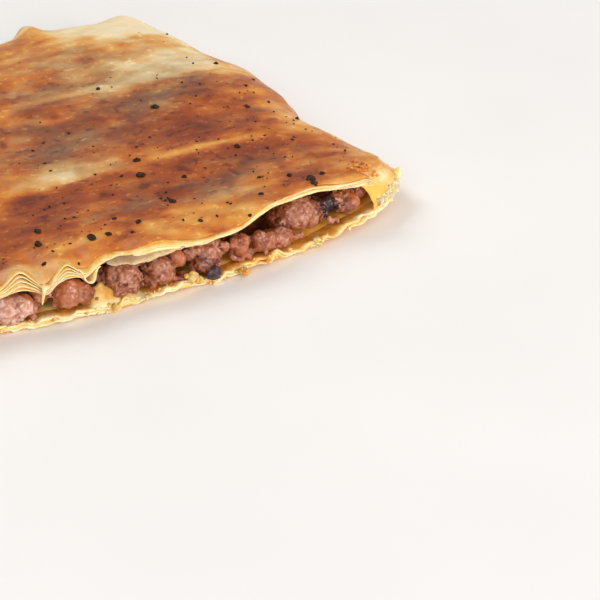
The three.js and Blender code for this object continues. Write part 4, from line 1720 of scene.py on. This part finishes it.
    def mush_row(self, along_left: bool) -> list[Lump]:
        """Softer meat that fills the gaps between and under a cut's lumps.

        Args:
            along_left: whether it's the left cut.

        Returns:
            The soft lumps.
        """
        row = []
        for n in range(self.mush):
            share = (n + chance(n, 51)) / self.mush
            behind = lerp(1.9, 4.2, chance(n, 52))
            x, y = self.behind_cut(along_left, share, behind, (3, 1), self.bare)
            radius = lerp(1.3, 2.3, chance(n, 53))
            z = self.form.crust + 0.7 * radius + 3.2 * chance(n, 54)
            row.append(self.lump(x, y, z, radius, lerp(0.42, 0.62, chance(n, 55)), chance(n, 56)))
        return row

    def scrap_row(self) -> list[Lump]:
        """Small scraps of meat on the floor of the front cut, between the lumps.

        Returns:
            The scraps.
        """
        row = []
        for n in range(self.scraps):
            x = lerp(self.form.left + 2, self.form.right - self.form.meat_inset - 2, chance(n, 41))
            y = self.form.front + lerp(2.2, 4.2, chance(n, 42))
            radius = lerp(0.9, 1.6, chance(n, 43))
            z = self.form.crust + 0.5 * radius + 1.6 * chance(n, 44) ** 2
            row.append(self.lump(x, y, z, radius, lerp(0.4, 0.75, chance(n, 45)), chance(n, 46)))
        return row

    def crumble_row(self) -> list[Lump]:
        """Loose crumbled meat on the floor of the front cut, up to the lip where it spills that far.

        Returns:
            The crumbs of meat.
        """
        row = []
        for n in range(self.crumble):
            x = lerp(self.form.left + 2, self.crumble_end, (n + chance(n, 61)) / self.crumble)
            if chance(n, 62) > float(swell(x, self.crumbled)):
                continue
            y = self.form.front + lerp(1.2, 3.4, chance(n, 63))
            radius = lerp(0.7, 1.25, chance(n, 64))
            z = self.form.crust + 0.35 * radius + 0.9 * chance(n, 65)
            tone = lerp(0.42, 0.7, chance(n, 66))
            row.append(self.lump(x, y, z, radius, tone, chance(n, 67), curled=False))
        return row

    def granules(self, lumps: list[Lump]) -> tuple[Array, Array, Array]:
        """Granules packed on each lump, which is itself an uneven cluster of balls.

        Args:
            lumps: the lumps to fill.

        Returns:
            Their middles and radii, and how far the lump of each may be bent.
        """
        draw = np.random.default_rng(self.seed)
        middles, radii, pliant = [], [], []
        for lump in lumps:
            count = self.blobs if lump.radius > 2 else 2
            way = draw.normal(size=(count, 3))
            way /= np.linalg.norm(way, axis=1)[:, None]
            ball = draw.uniform(0.58, 0.80, count) * lump.radius
            centre = way * (draw.uniform(0.95, 1.3, count) * (lump.radius - ball))[:, None]
            for middle, radius in zip(centre, ball):
                points, size = self._shell(radius, draw)
                points += middle
                buried = [np.linalg.norm(points - c, axis=1) < b - 0.9 for c, b in zip(centre, ball)]
                keep = ~np.any(buried, axis=0)
                middles.append(points[keep])
                radii.append(size[keep])
            middles.append(centre)
            radii.append(ball * 0.92)
            fresh = slice(-count - 1, None)
            flat = [1, 1, self.pressed(lump.radius)]
            middles[fresh] = [m * flat + [lump.x, lump.y, lump.z] for m in middles[fresh]]
            pliant += [np.full(len(m), smooth(lump.radius, 1.6, 3.4)) for m in middles[fresh]]
        return np.concatenate(middles), np.concatenate(radii), np.concatenate(pliant)

    def _shell(self, radius: float, draw: np.random.Generator) -> tuple[Array, Array]:
        """Granules spread over a ball, and their radii.

        Args:
            radius: the ball's radius.
            draw: the source of chance.

        Returns:
            The middle and the radius of each granule.
        """
        count = max(14, int(18 * radius**2))
        turn = np.arange(count) * math.pi * (3 - math.sqrt(5))
        up = 1 - (2 * np.arange(count) + 1) / count
        ring = np.sqrt(1 - up**2)
        out = np.stack([ring * np.cos(turn), ring * np.sin(turn), up], axis=1)
        size = draw.uniform(*self.granule, count)
        points = out * (radius - 0.95 * size + draw.normal(0, 0.06, count))[:, None]
        return points + draw.normal(0, 0.08, (count, 3)), size

    def heap(self, name: str, lumps: list[Lump], tree: PointTree, material: Material) -> Piece:
        """One run of lumps as a piece.

        Args:
            name: the piece's name.
            lumps: its lumps.
            tree: the tree that melts granules into a skin.
            material: the meat's material.

        Returns:
            The piece, with tone, painted crevice shade and stain stored on it.
        """
        middles, radii, pliant = self.granules(lumps)
        middles = middles + self.bend(middles) * pliant[:, None]
        obj = make_object(name, middles / MM, [], {"size": radii})
        tree.apply(obj, {"Voxel": self.voxel, "Level": self.level, "Material": material})
        drop_specks(obj, self.least_island)
        melt = obj.modifiers.new("melt", "SMOOTH")
        melt.factor = 0.5
        melt.iterations = 3
        bake_modifiers(obj)
        self.roughen(obj)
        self.dress(obj, lumps)
        return obj

    def bend(self, points: Array) -> Array:
        """How far each granule is pushed aside, so that no lump stays round."""
        wild = Grain(self.seed + 2)
        across, along, up = (wild.layers(*(points / 3.0).T + shift, 2) for shift in (0.0, 31.0, 67.0))
        return np.stack([1.1 * across, 1.0 * along, 0.7 * up], axis=1)

    def sunken(self, obj: Piece, rounds: int = 24) -> Array:
        """How far each point lies below its smoothed surroundings, in millimetres.

        Args:
            obj: the piece.
            rounds: how many times the surroundings are smoothed.

        Returns:
            The depth of each point.
        """
        points, normals = read_points(obj), read_normals(obj)
        ends, others = edge_pairs(obj)
        count = np.maximum(np.bincount(ends, minlength=len(points)), 1)
        soft = points.copy()
        for _ in range(rounds):
            near = [np.bincount(ends, soft[others, axis], len(points)) / count for axis in range(3)]
            soft = np.stack(near, axis=1)
        return np.sum((soft - points) * normals, axis=1)

    def roughen(self, obj: Piece) -> None:
        """Pushes the skin in and out by the fine grain of the meat.

        Args:
            obj: the piece.
        """
        points, normals = read_points(obj), read_normals(obj)
        grit = Grain(self.seed + 1)
        out = 0.14 * grit(*(points / 1.0).T) + 0.12 * grit(*(points / 0.5).T)
        moved = (points + normals * out[:, None]) * MM
        obj.data.vertices.foreach_set("co", moved.astype(np.float32).ravel())
        obj.data.update()

    def dress(self, obj: Piece, lumps: list[Lump]) -> None:
        """Gives each lump its tone, and paints shade onto what lies deep between lumps.

        Args:
            obj: the piece.
            lumps: its lumps.
        """
        points = read_points(obj)
        nearest = np.full(len(points), np.inf)
        tone = np.zeros(len(points))
        stain = np.zeros(len(points))
        for lump in lumps:
            offset = (points - [lump.x, lump.y, lump.z]) / [1, 1, self.pressed(lump.radius)]
            gap = np.linalg.norm(offset, axis=1) - lump.radius
            closer = gap < nearest
            tone = np.where(closer, lump.tone, tone)
            stain = np.where(closer, lump.stain, stain)
            nearest = np.where(closer, gap, nearest)
        tone = tone + 0.16 * Grain(self.seed).layers(*(points / 2.2).T, 3)
        write_attribute(obj, "tone", np.clip(tone, 0, 1))
        write_attribute(obj, "stain", stain)
        # painted shade: the deeper a point is sunk below its surroundings, the darker it is painted
        write_attribute(obj, "painted_crevice_shade", smooth(self.sunken(obj), -0.02, 0.42))

    def core(self, material: Material) -> Piece:
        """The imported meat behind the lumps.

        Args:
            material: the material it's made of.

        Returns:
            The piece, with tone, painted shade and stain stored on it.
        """
        form = self.form
        rows, columns = self.core_cells
        left, front = form.left + self.core_recess, form.front + self.core_recess
        u = np.linspace(0, 1, rows)[:, None] + np.zeros((1, columns))
        v = np.linspace(0, 1, columns)[None, :]
        end = form.meat_inset
        y = lerp(front, form.pocket_back(lerp(left, form.right - end, u), end), v)
        x = lerp(left, form.pocket_right(y, end), u)
        knobs = form.blisters.layers(x / 3.2, y / 3.2, 41.0, 3)
        low = form.crust + self.core_clearance + form.rim_lift(x, y)
        high = np.maximum(form.top(x, y) - form.crust - self.core_clearance - 0.5 * (1 + knobs), low + 0.5)
        obj = slab("keema_core", form.points(x, y, low), form.points(x, y, high), x.shape)
        # the core gets an even painted shade along with its tone and stain
        look = {"tone": self.core_tone, "painted_crevice_shade": self.core_painted_shade, "stain": self.core_stain}
        for key, value in look.items():
            write_attribute(obj, key, np.full(2 * x.size, value))
        obj.data.materials.append(material)
        return obj

    def build(self, material: Material) -> list[Piece]:
        """Makes the front row, the left row and the core.

        Args:
            material: the material it's made of.

        Returns:
            The three pieces.
        """
        tree = granule_tree()
        inner = self.inner_row()
        front = self.front_row() + [lump for n, lump in enumerate(inner) if n % 2 == 0]
        front += self.mush_row(False) + self.scrap_row() + self.crumble_row()
        left = self.left_row() + [lump for n, lump in enumerate(inner) if n % 2] + self.mush_row(True)
        return [
            self.heap("keema_front", front, tree, material),
            self.heap("keema_left", left, tree, material),
            self.core(material),
        ]


# ---- Torn bits of dough ----
@dataclass(frozen=True)
class TornDough:
    """What the knife tore at the front cut: loose leaves, a strand, crumbs, and the tip's crumbly rim."""

    SHARES: ClassVar[Array] = np.linspace(0, 1, 8)

    form: SliceForm
    doubled: tuple[tuple[float, float], ...] = (
        # across and height of the leaf that folds over itself
        (-15.6, 10.7), (-14.9, 9.6), (-14.5, 8.3), (-13.9, 7.4), (-13.1, 7.3), (-12.5, 8.0), (-12.2, 8.9),
        (-11.7, 9.5), (-10.8, 9.7),
    )
    doubled_depth: float = 3.4
    doubled_thick: float = 0.34
    strand: tuple[tuple[float, float, float], ...] = (
        # across, height and radius down the strand
        (-22.6, 9.4, 0.75), (-22.9, 8.6, 0.42), (-23.1, 7.7, 0.28), (-23.3, 6.7, 0.22), (-23.45, 5.9, 0.16),
        (-23.5, 5.5, 0.08),
    )
    crumbs: tuple[tuple[float, float, float, float, float], ...] = (
        # across, how far behind the cut, height, radius and tone of each coarse crumb
        (7.0, -0.4, 3.7, 1.4, 0.45), (7.9, -0.2, 2.5, 1.1, 0.5), (19.0, -0.4, 1.2, 0.9, 0.7),
        (17.6, -0.3, 1.5, 0.7, 0.75), (24.5, -0.1, 1.4, 0.6, 0.7), (36.6, -0.2, 2.2, 0.8, 0.3),
        (37.4, -0.4, 1.4, 0.7, 0.4), (-2.6, -0.3, 1.8, 0.7, 0.2), (-9.2, -0.2, 1.2, 0.8, 0.45),
    )
    glassy_edge: tuple[tuple[float, float], ...] = (
        # across and height of the lower edge of the glassy leaf that hangs over the meat
        (-9.6, 9.8), (-8.0, 9.5), (-6.4, 9.3), (-4.2, 8.7), (-2.0, 8.5), (0.9, 8.9), (3.5, 9.2),
        (6.2, 9.4), (7.2, 9.7),
    )
    glassy_under: float = 1.1
    glassy_depth: float = 2.8
    glassy_thick: float = 0.24
    rising_top: tuple[tuple[float, float], ...] = (
        # across and height of the upper edge of the golden leaf behind the lip
        (-13.8, 2.0), (-12.8, 3.6), (-11.6, 4.9), (-10.2, 5.1), (-8.6, 4.2), (-6.8, 3.4), (-4.4, 2.9),
        (-2.4, 2.0),
    )
    rising_start: float = 1.5
    rising_depth: float = 3.2
    rising_thick: float = 0.4
    rising_gold: float = 0.36
    cluster: int = 9
    rim_crumbs: int = 1800
    rim_sizes: tuple[float, float] = (0.25, 0.7)
    spice_crumbs: int = 36
    spice_place: tuple[float, float] = (52.5, 4.6)
    spice_spread: tuple[float, float] = (2.4, 1.9)
    spice_sizes: tuple[float, float] = (0.16, 0.6)
    lip_crumbs: int = 160
    lip_sizes: tuple[float, float] = (0.15, 0.42)
    seed: int = 43

    def clustered(self, draw: np.random.Generator) -> tuple[Array, Array, Array]:
        """Each listed crumb as a cluster of smaller ones, so that it looks torn.

        Args:
            draw: the source of chance.

        Returns:
            Places, sizes and tones.
        """
        places, sizes, tones = [], [], []
        for x, inset, z, radius, tone in self.crumbs:
            off = draw.normal(0, 0.3 * radius, (self.cluster, 3)) * [1.2, 0.7, 0.8]
            places.append(self.place(x + off[:, 0], inset + off[:, 1], z + off[:, 2]))
            sizes.append(draw.uniform(0.45, 0.75, self.cluster) * radius)
            tones.append(tone + draw.uniform(-0.15, 0.15, self.cluster))
        return np.concatenate(places), np.concatenate(sizes), np.concatenate(tones)

    def place(self, x: Array, inset: Array, z: Array) -> Array:
        """Points at the front cut, inset millimetres behind its straight edge."""
        return self.form.points(x, self.form.front + inset + np.zeros_like(x), z)

    def doubled_leaf(self) -> list[Array]:
        """Loops of the leaf that folds over itself: a strip swept back from the cut.

        Returns:
            The points of each loop.
        """
        rough = np.array(self.doubled)
        fine = np.linspace(0, len(rough) - 1, 5 * len(rough))
        x, z = (np.interp(fine, np.arange(len(rough)), rough[:, k]) for k in (0, 1))
        for _ in range(4):
            x[1:-1], z[1:-1] = ((v[:-2] + v[1:-1] + v[2:]) / 3 for v in (x, z))
        across, up = np.gradient(x), np.gradient(z)
        length = np.hypot(across, up)
        half = self.doubled_thick / 2
        side_x, side_z = -up / length * half, across / length * half
        recess = self.form.recess(x)
        loops = []
        for depth in np.linspace(0, self.doubled_depth, 7):
            inset = recess + depth + 0.25 * np.sin(x * 2.1)
            sink = 0.10 * depth
            rim = 0.55 if depth == 0 else 1.0
            outer = self.place(x + rim * side_x, inset, z + rim * side_z - sink)
            inner = self.place(x - rim * side_x, inset, z - rim * side_z - sink)
            loops.append(np.concatenate([outer, inner[::-1]]))
        return loops

    def glassy_leaf(self) -> list[Array]:
        """Loops of the glassy leaf that hangs from the band over the meat and slopes back and up.

        Returns:
            The points of each loop.
        """
        rough = np.array(self.glassy_edge)
        x = np.linspace(rough[0, 0], rough[-1, 0], 48)
        low = np.interp(x, rough[:, 0], rough[:, 1]) + 0.08 * np.sin(x * 4.3) + 0.05 * np.sin(x * 7.9)
        loops = []
        for share in self.SHARES:
            inset = 1.0 + self.glassy_depth * share**1.2 + 0.2 * np.sin(x * 1.7 + 2 * share)
            roof = self.form.top(x, self.form.front + inset) - self.glassy_under
            low = lerp(roof, low, smooth(np.minimum(x - x[0], x[-1] - x), 0.0, 1.6))
            z = lerp(low, roof, share**0.8) + 0.06 * np.sin(x * 3.1 + 4 * share)
            thick = self.glassy_thick * (0.4 if share == 0 else 1.0)
            far = self.place(x, inset + thick, z - 0.3 * thick)
            loops.append(np.concatenate([self.place(x, inset, z), far[::-1]]))
        return loops

    def rising_leaf(self) -> list[Array]:
        """Loops of the golden leaf of the lower crust that rises behind the lip between two lumps.

        Returns:
            The points of each loop.
        """
        rough = np.array(self.rising_top)
        x = np.linspace(rough[0, 0], rough[-1, 0], 48)
        low = self.form.curl(x) + self.rising_start
        high = np.maximum(np.interp(x, rough[:, 0], rough[:, 1]) + 0.15 * np.sin(2.9 * x), low)
        loops = []
        for share in self.SHARES:
            inset = 0.5 + self.rising_depth * share + 0.2 * np.sin(1.9 * x + 2 * share)
            z = lerp(low, high, share**0.8) + 0.12 * np.sin(2.3 * x + 5 * share)
            thick = self.rising_thick * (0.5 if share == 0 else 1.0)
            far = self.place(x, inset + 0.5 * thick, z - thick)
            loops.append(np.concatenate([self.place(x, inset, z), far[::-1]]))
        return loops

    def hanging_strand(self) -> list[Array]:
        """Loops of the thin strand that hangs where the leaves are pinched.

        Returns:
            The points of each loop.
        """
        sides = 10
        angles = np.linspace(0, 2 * math.pi, sides, endpoint=False)
        loops = []
        for x, z, radius in self.strand:
            ring_x = x + radius * np.cos(angles)
            loops.append(self.place(ring_x, radius * np.sin(angles) - 0.5, np.full(sides, z)))
        return loops

    def folds(self, material: Material) -> Piece:
        """Makes the doubled leaf, the strand, the glassy leaf and the rising leaf as one piece.

        Args:
            material: the material it's made of.

        Returns:
            The piece, with tone and wan stored on it.
        """
        back = smooth(self.SHARES, 0.0, 0.4)
        none = np.zeros(1)
        kinds = (
            (self.doubled_leaf(), none + 0.16, none),
            (self.hanging_strand(), none + 0.16, none),
            (self.glassy_leaf(), none + 0.16, 0.35 + 0.6 * back),
            (self.rising_leaf(), 0.12 + self.rising_gold * back, none),
        )
        points, faces, tones, pallors = [], [], [], []
        total = 0
        for loops, tone, pallor in kinds:
            more, more_faces = closed_skin(loops)
            points.append(more)
            faces += [tuple(n + total for n in face) for face in more_faces]
            for values, along in ((tones, tone), (pallors, pallor)):
                values.append(np.repeat(np.broadcast_to(along, max(len(along), len(loops))), len(loops[0])))
            total += len(more)
        values = {"tone": np.concatenate(tones), "wan": np.concatenate(pallors)}
        obj = make_object("loose_leaves", np.concatenate(points), faces, values)
        face_outwards(obj)
        obj.data.materials.append(material)
        return obj

    def rim_places(self, draw: np.random.Generator) -> tuple[Array, Array]:
        """Places and sizes of the crumbs that make the tip's rim.

        Args:
            draw: the source of chance.

        Returns:
            The points and the sizes.
        """
        form = self.form
        ring = form.ring(900, 820)
        shut = (1 - ring.cut) * fade(np.hypot(ring.x - form.right, ring.y - form.front), 15.0)
        shut *= ring.cut < 0.6
        chosen = draw.choice(len(ring), self.rim_crumbs, p=shut / shut.sum())
        x, y = ring.x[chosen], ring.y[chosen]
        size = lerp(*self.rim_sizes, draw.uniform(size=self.rim_crumbs) ** 1.6)
        height = draw.uniform(-0.8, 1.15, self.rim_crumbs)
        inset = 1.6 * height**2 + draw.uniform(0.0, 0.35, self.rim_crumbs)
        px, py = form.inset(x, y, inset)
        z = form.rim_middle + form.rim_lift(x, y) + 1.5 * height
        return form.points(px, py, z), size

    def lip_places(self, draw: np.random.Generator) -> tuple[Array, Array]:
        """Places and sizes of the fine crumbs along the lower crust's edge.

        Args:
            draw: the source of chance.

        Returns:
            The points and the sizes.
        """
        form = self.form
        x = draw.uniform(form.left + 1, form.right - 18, self.lip_crumbs)
        inset = draw.uniform(-0.1, 0.9, self.lip_crumbs)
        size = lerp(*self.lip_sizes, draw.uniform(size=self.lip_crumbs) ** 2)
        z = form.curl(x) + form.tip_curl(x, form.front) + draw.uniform(0.4, 1.9, self.lip_crumbs)
        return self.place(x, inset, z), size

    def spice_places(self, draw: np.random.Generator) -> tuple[Array, Array]:
        """Places and sizes of the orange crumbs on the crust beside the opening's end."""
        x = draw.normal(self.spice_place[0], self.spice_spread[0], self.spice_crumbs)
        inset = draw.normal(self.spice_place[1], self.spice_spread[1], self.spice_crumbs)
        z = self.form.skin(x, self.form.front + inset) + 0.1
        return self.place(x, inset, z), lerp(*self.spice_sizes, draw.uniform(size=self.spice_crumbs) ** 2)

    def scatter(self, material: Material, tree: PointTree) -> Piece:
        """Makes every crumb of dough as one piece.

        Args:
            material: the material it's made of.
            tree: the tree that sets a grain on every point.

        Returns:
            The piece.
        """
        draw = np.random.default_rng(self.seed)
        own, own_size, own_tone = self.clustered(draw)
        rim, rim_size = self.rim_places(draw)
        lip, lip_size = self.lip_places(draw)
        spice, spice_size = self.spice_places(draw)
        places = np.concatenate([own, rim, lip, spice])
        size = np.concatenate([own_size, rim_size, lip_size, spice_size])
        tones = [own_tone, draw.uniform(0.0, 0.36, len(rim)), draw.uniform(0.1, 0.6, len(lip))]
        tone = np.concatenate([*tones, draw.uniform(0.85, 1.0, len(spice))])
        look = {"size": size * MM, "tone": tone, "wan": np.zeros(len(tone))}
        obj = make_object("dough_crumbs", places, [], look)
        tree.apply(obj, {"Seed": 8, "Flatness": 0.8, "Crush": 0.0008, "Material": material})
        return obj


# ---- Cracked pepper ----
@dataclass(frozen=True)
class Pepper:
    """Cracked black pepper on the top: coarse flecks where they lie, and fine ones scattered by rule."""

    form: SliceForm
    coarse: tuple[tuple[float, float, float], ...] = (
        (25.5, 11, 0.6), (31, -5, 0.95), (15, -26, 0.8), (12.5, -31.5, 1.0), (19.5, -36.5, 0.6),
        (12, -44, 0.75), (1.5, -49, 0.6), (-5.5, -50.5, 0.75), (-9, -50.5, 0.95), (-16.5, -43.5, 0.7),
        (-18.5, -48, 0.8), (-1.5, -45.5, 0.5), (40, -52.5, 1.05), (43.5, -51.5, 0.6), (39.5, -56, 0.8),
        (32.5, -44.5, 0.5), (38, -47.5, 0.6), (36.5, -31, 0.75), (50, -15, 0.65), (53.5, -5, 0.5),
        (54.5, 11.5, 0.6), (59.5, -22.5, 0.6), (-20.5, -54.5, 0.5), (12.5, -53.5, 0.55), (28, -51.5, 0.55),
        (-44, -30, 0.8), (-52, -6, 0.7), (-36, 8, 0.6), (-28, 34, 0.5),
    )
    fine: int = 340
    sizes: tuple[float, float] = (0.13, 0.36)
    margin: float = 4.0
    edge_gap: float = 1.1
    edge_droop: float = 0.45
    fold_gap: float = 4.5
    seed: int = 97

    def behind_cuts(self, x: Array, y: Array) -> Array:
        """How far places lie behind the upper crust's edge at the nearer cut."""
        return np.minimum(*self.form.from_cuts(x, y))

    def settled_coarse(self) -> Array:
        """The coarse flecks, with those in front of the crust's edge moved back onto it."""
        x, y, size = np.array(self.coarse).T
        short = np.maximum(self.edge_gap - self.behind_cuts(x, y), 0.0)
        return np.stack([x, y + short, size], axis=1)

    def scattered(self) -> Array:
        """Places and sizes of the fine flecks, more of them towards the front and the right.

        Returns:
            A row of place across, place along and size for each fleck.
        """
        draw = np.random.default_rng(self.seed)
        share = draw.uniform(size=self.fine) ** 0.6
        x = lerp(self.form.left + self.margin, self.form.right - self.margin, share)
        y = lerp(self.form.back - self.margin, self.form.front + 1.5, draw.uniform(size=self.fine) ** 0.4)
        size = lerp(*self.sizes, draw.uniform(size=self.fine) ** 3)
        inside = (self.behind_cuts(x, y) > self.edge_gap) & (x < self.form.pocket_right(y, self.fold_gap))
        return np.stack([x, y, size], axis=1)[inside]

    def build(self, material: Material) -> Piece:
        """Makes all the flecks as one piece.

        Args:
            material: the material it's made of.

        Returns:
            The piece.
        """
        x, y, size = np.concatenate([self.settled_coarse(), self.scattered()]).T
        sunk = self.edge_droop * (1 - smooth(self.behind_cuts(x, y), 0.0, 4.0))
        height = self.form.skin(x, y) - sunk + 0.12 * size
        obj = make_object("pepper", self.form.points(x, y, height), [], {"size": size * MM})
        tree = crumb_tree()
        tree.apply(obj, {"Seed": 3, "Flatness": 0.55, "Crush": 0.0009, "Material": material})
        obj.data.polygons.foreach_set("use_smooth", np.zeros(len(obj.data.polygons), bool))
        return obj


# ---- Light, floor and camera ----
@dataclass(frozen=True)
class Lamp:
    """A soft square light aimed at the slice."""

    name: str
    place: tuple[float, float, float]
    size: float
    watts: float
    tint: tuple[float, float, float] = (1.0, 1.0, 1.0)

    def build(self, target: Vector) -> None:
        """Hangs the light and aims it.

        Args:
            target: the place it shines at, in metres.
        """
        data = bpy.data.lights.new(self.name, "AREA")
        data.size = self.size
        data.energy = self.watts
        data.color = self.tint
        lamp = bpy.data.objects.new(self.name, data)
        lamp.location = self.place
        lamp.rotation_euler = (target - Vector(self.place)).to_track_quat("-Z", "Y").to_euler()
        bpy.context.scene.collection.objects.link(lamp)


@dataclass(frozen=True)
class Studio:
    """The pale floor, the soft lights and the photograph's camera."""

    shift: tuple[float, float]
    camera_place: tuple[float, float, float] = (-153.22, -339.11, 182.7)
    target: tuple[float, float, float] = (22.62, -76.11, 0.0)
    focal_pixels: float = 1900.0
    picture_pixels: float = 600.0
    sensor: float = 36.0
    floor_half: float = 2.0
    world_strength: float = 0.32
    lamp_target: tuple[float, float, float] = (0.0, 0.0, 0.005)
    lamps: tuple[Lamp, ...] = (
        Lamp("key", (-0.25, 0.45, 0.75), 0.55, 4.0, (1.0, 0.97, 0.92)),
        Lamp("fill", (-0.55, -0.65, 0.35), 0.6, 3.3, (0.99, 0.98, 0.98)),
        Lamp("front", (0.32, -0.85, 0.25), 0.45, 5.4, (1.0, 0.97, 0.93)),
        Lamp("right", (0.8, 0.0, 0.4), 0.5, 2.2, (1.0, 0.98, 0.95)),
    )

    def build(self) -> None:
        """Makes the floor, the lights, the world and the camera."""
        moved = Vector((*self.shift, 0.0)) * MM
        aim = Vector(self.target) * MM + moved
        self._floor()
        for lamp in self.lamps:
            lamp.build(Vector(self.lamp_target))
        world = bpy.data.worlds.new("world")
        world.use_nodes = True
        sky = world.node_tree.nodes["Background"].inputs
        sky["Color"].default_value = (1.0, 1.0, 1.0, 1.0)
        sky["Strength"].default_value = self.world_strength
        scene = bpy.context.scene
        scene.world = world
        scene.view_settings.view_transform = "Standard"
        data = bpy.data.cameras.new("camera")
        data.sensor_width = self.sensor
        data.lens = self.sensor * self.focal_pixels / self.picture_pixels
        data.clip_end = 10.0
        data.dof.use_dof = False
        camera = bpy.data.objects.new("camera", data)
        camera.location = Vector(self.camera_place) * MM + moved
        camera.rotation_euler = (aim - camera.location).to_track_quat("-Z", "Y").to_euler()
        scene.collection.objects.link(camera)
        scene.camera = camera

    def _floor(self) -> None:
        """The floor, a large plain square under the slice."""
        half = self.floor_half / MM
        corners = np.array([[-half, -half, 0], [half, -half, 0], [half, half, 0], [-half, half, 0]], float)
        floor = make_object("floor", corners, [(0, 1, 2, 3)])
        floor.data.materials.append(PaleFloor().build())


def frame_shift(form: SliceForm) -> tuple[float, float]:
    """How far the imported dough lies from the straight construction's own middle.

    Args:
        form: the form before it is shifted.

    Returns:
        The distance across and along, in millimetres.
    """
    ring = form.ring(400, 400)
    sx, sy = form.settle(ring.x, ring.y)
    low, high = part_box(Node.DOUGH.value)
    across = (low.x + high.x) / (2 * MM) - (sx.min() + sx.max()) / 2
    along = (low.y + high.y) / (2 * MM) - (sy.min() + sy.max()) / 2
    return float(across), float(along)


def hand_over(obj: Piece, node: Node) -> None:
    """Attaches a finished piece to the body, hides the imported node it stands for, and reports it."""
    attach(obj, BODY)
    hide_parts(node.value)
    log.info("%s: %d triangles for %s", obj.name, triangle_count(obj), node.value)


def main() -> None:
    """Builds every piece in order."""
    logging.basicConfig(level=logging.INFO, format="%(name)s: %(message)s")
    plain = SliceForm()
    form = replace(plain, shift=frame_shift(plain))
    log.info("the straight slice is shifted by %.2f, %.2f mm", *form.shift)
    skin, leaf, mince, pepper = (f().build() for f in (FriedSkin, LeafDough, CookedMince, CrackedPepper))

    crust = Crust(form, Browning())
    hand_over(crust.build(skin), Node.DOUGH)
    fried_edge = LeafStack(
        form, Side.UPPER, "skin_edge", seed=15, thickness=0.3, back_at=8.4, rows=12, least_droop=0.5,
        leaves=(Leaf(0.9, 0.5, 0.3, steps=((-45, 2.0, 12), (-12, 1.0, 5), (2, 1.3, 5))),),
    )
    edge = fried_edge.build(skin)
    crust.dress_edge(edge)
    hand_over(edge, Node.DOUGH)
    upper = LeafStack(
        form, Side.UPPER, "upper_leaves", seed=5, under=1,
        droops=((-3, -0.4, 7), (-50, 0.8, 20), (30, -0.3, 14)),
        crowns=((-27, 0.62, 2.6), (-18.4, 0.5, 1.7), (-33.5, 0.3, 1.8), (-44, 0.5, 3), (-55, 0.5, 3)),
        leaves=(
            Leaf(0.1, 0.4, 0.6, steps=((36, 0.5, 12),)),
            Leaf(0.1, 0.3, 0.42, steps=((-3, 2.2, 7.5), (30, 2.6, 14))),
            Leaf(0.1, 0.3, 0.32, steps=((-3, 3.2, 8), (30, 3.4, 14))),
            Leaf(0.0, 0.3, 0.28, steps=((-3, 3.6, 9), (30, 3.8, 14))),
            Leaf(0.4, 0.4, 0.5, steps=((-1, 3.4, 11), (32, 4.0, 14))),
        ),
    )
    hand_over(upper.build(leaf), Node.DOUGH)
    lower = LeafStack(
        form, Side.LOWER, "lower_leaves", seed=8, spread=0.0, slack=-0.15, back_at=6.4,
        thickness=0.85, nose=0.42, dying=0.0, tip_frill=2.2, inward=0.55, oiliness=0.4,
        oily=((22, 0.4, 7), (40, 0.35, 9), (-7, 0.25, 5)),
        leaves=(Leaf(0.5, 1.2, 0.25), Leaf(0.3, 1.5, 0.2)),
    )
    hand_over(lower.build(leaf), Node.DOUGH)
    for piece in Keema(form).build(mince):
        hand_over(piece, Node.KEEMA)
    torn = TornDough(form)
    hand_over(torn.folds(leaf), Node.DOUGH)
    hand_over(torn.scatter(leaf, crumb_tree()), Node.DOUGH)
    hand_over(Pepper(form).build(pepper), Node.DOUGH)
    Studio(form.shift).build()


if __name__ == "__main__":
    main()
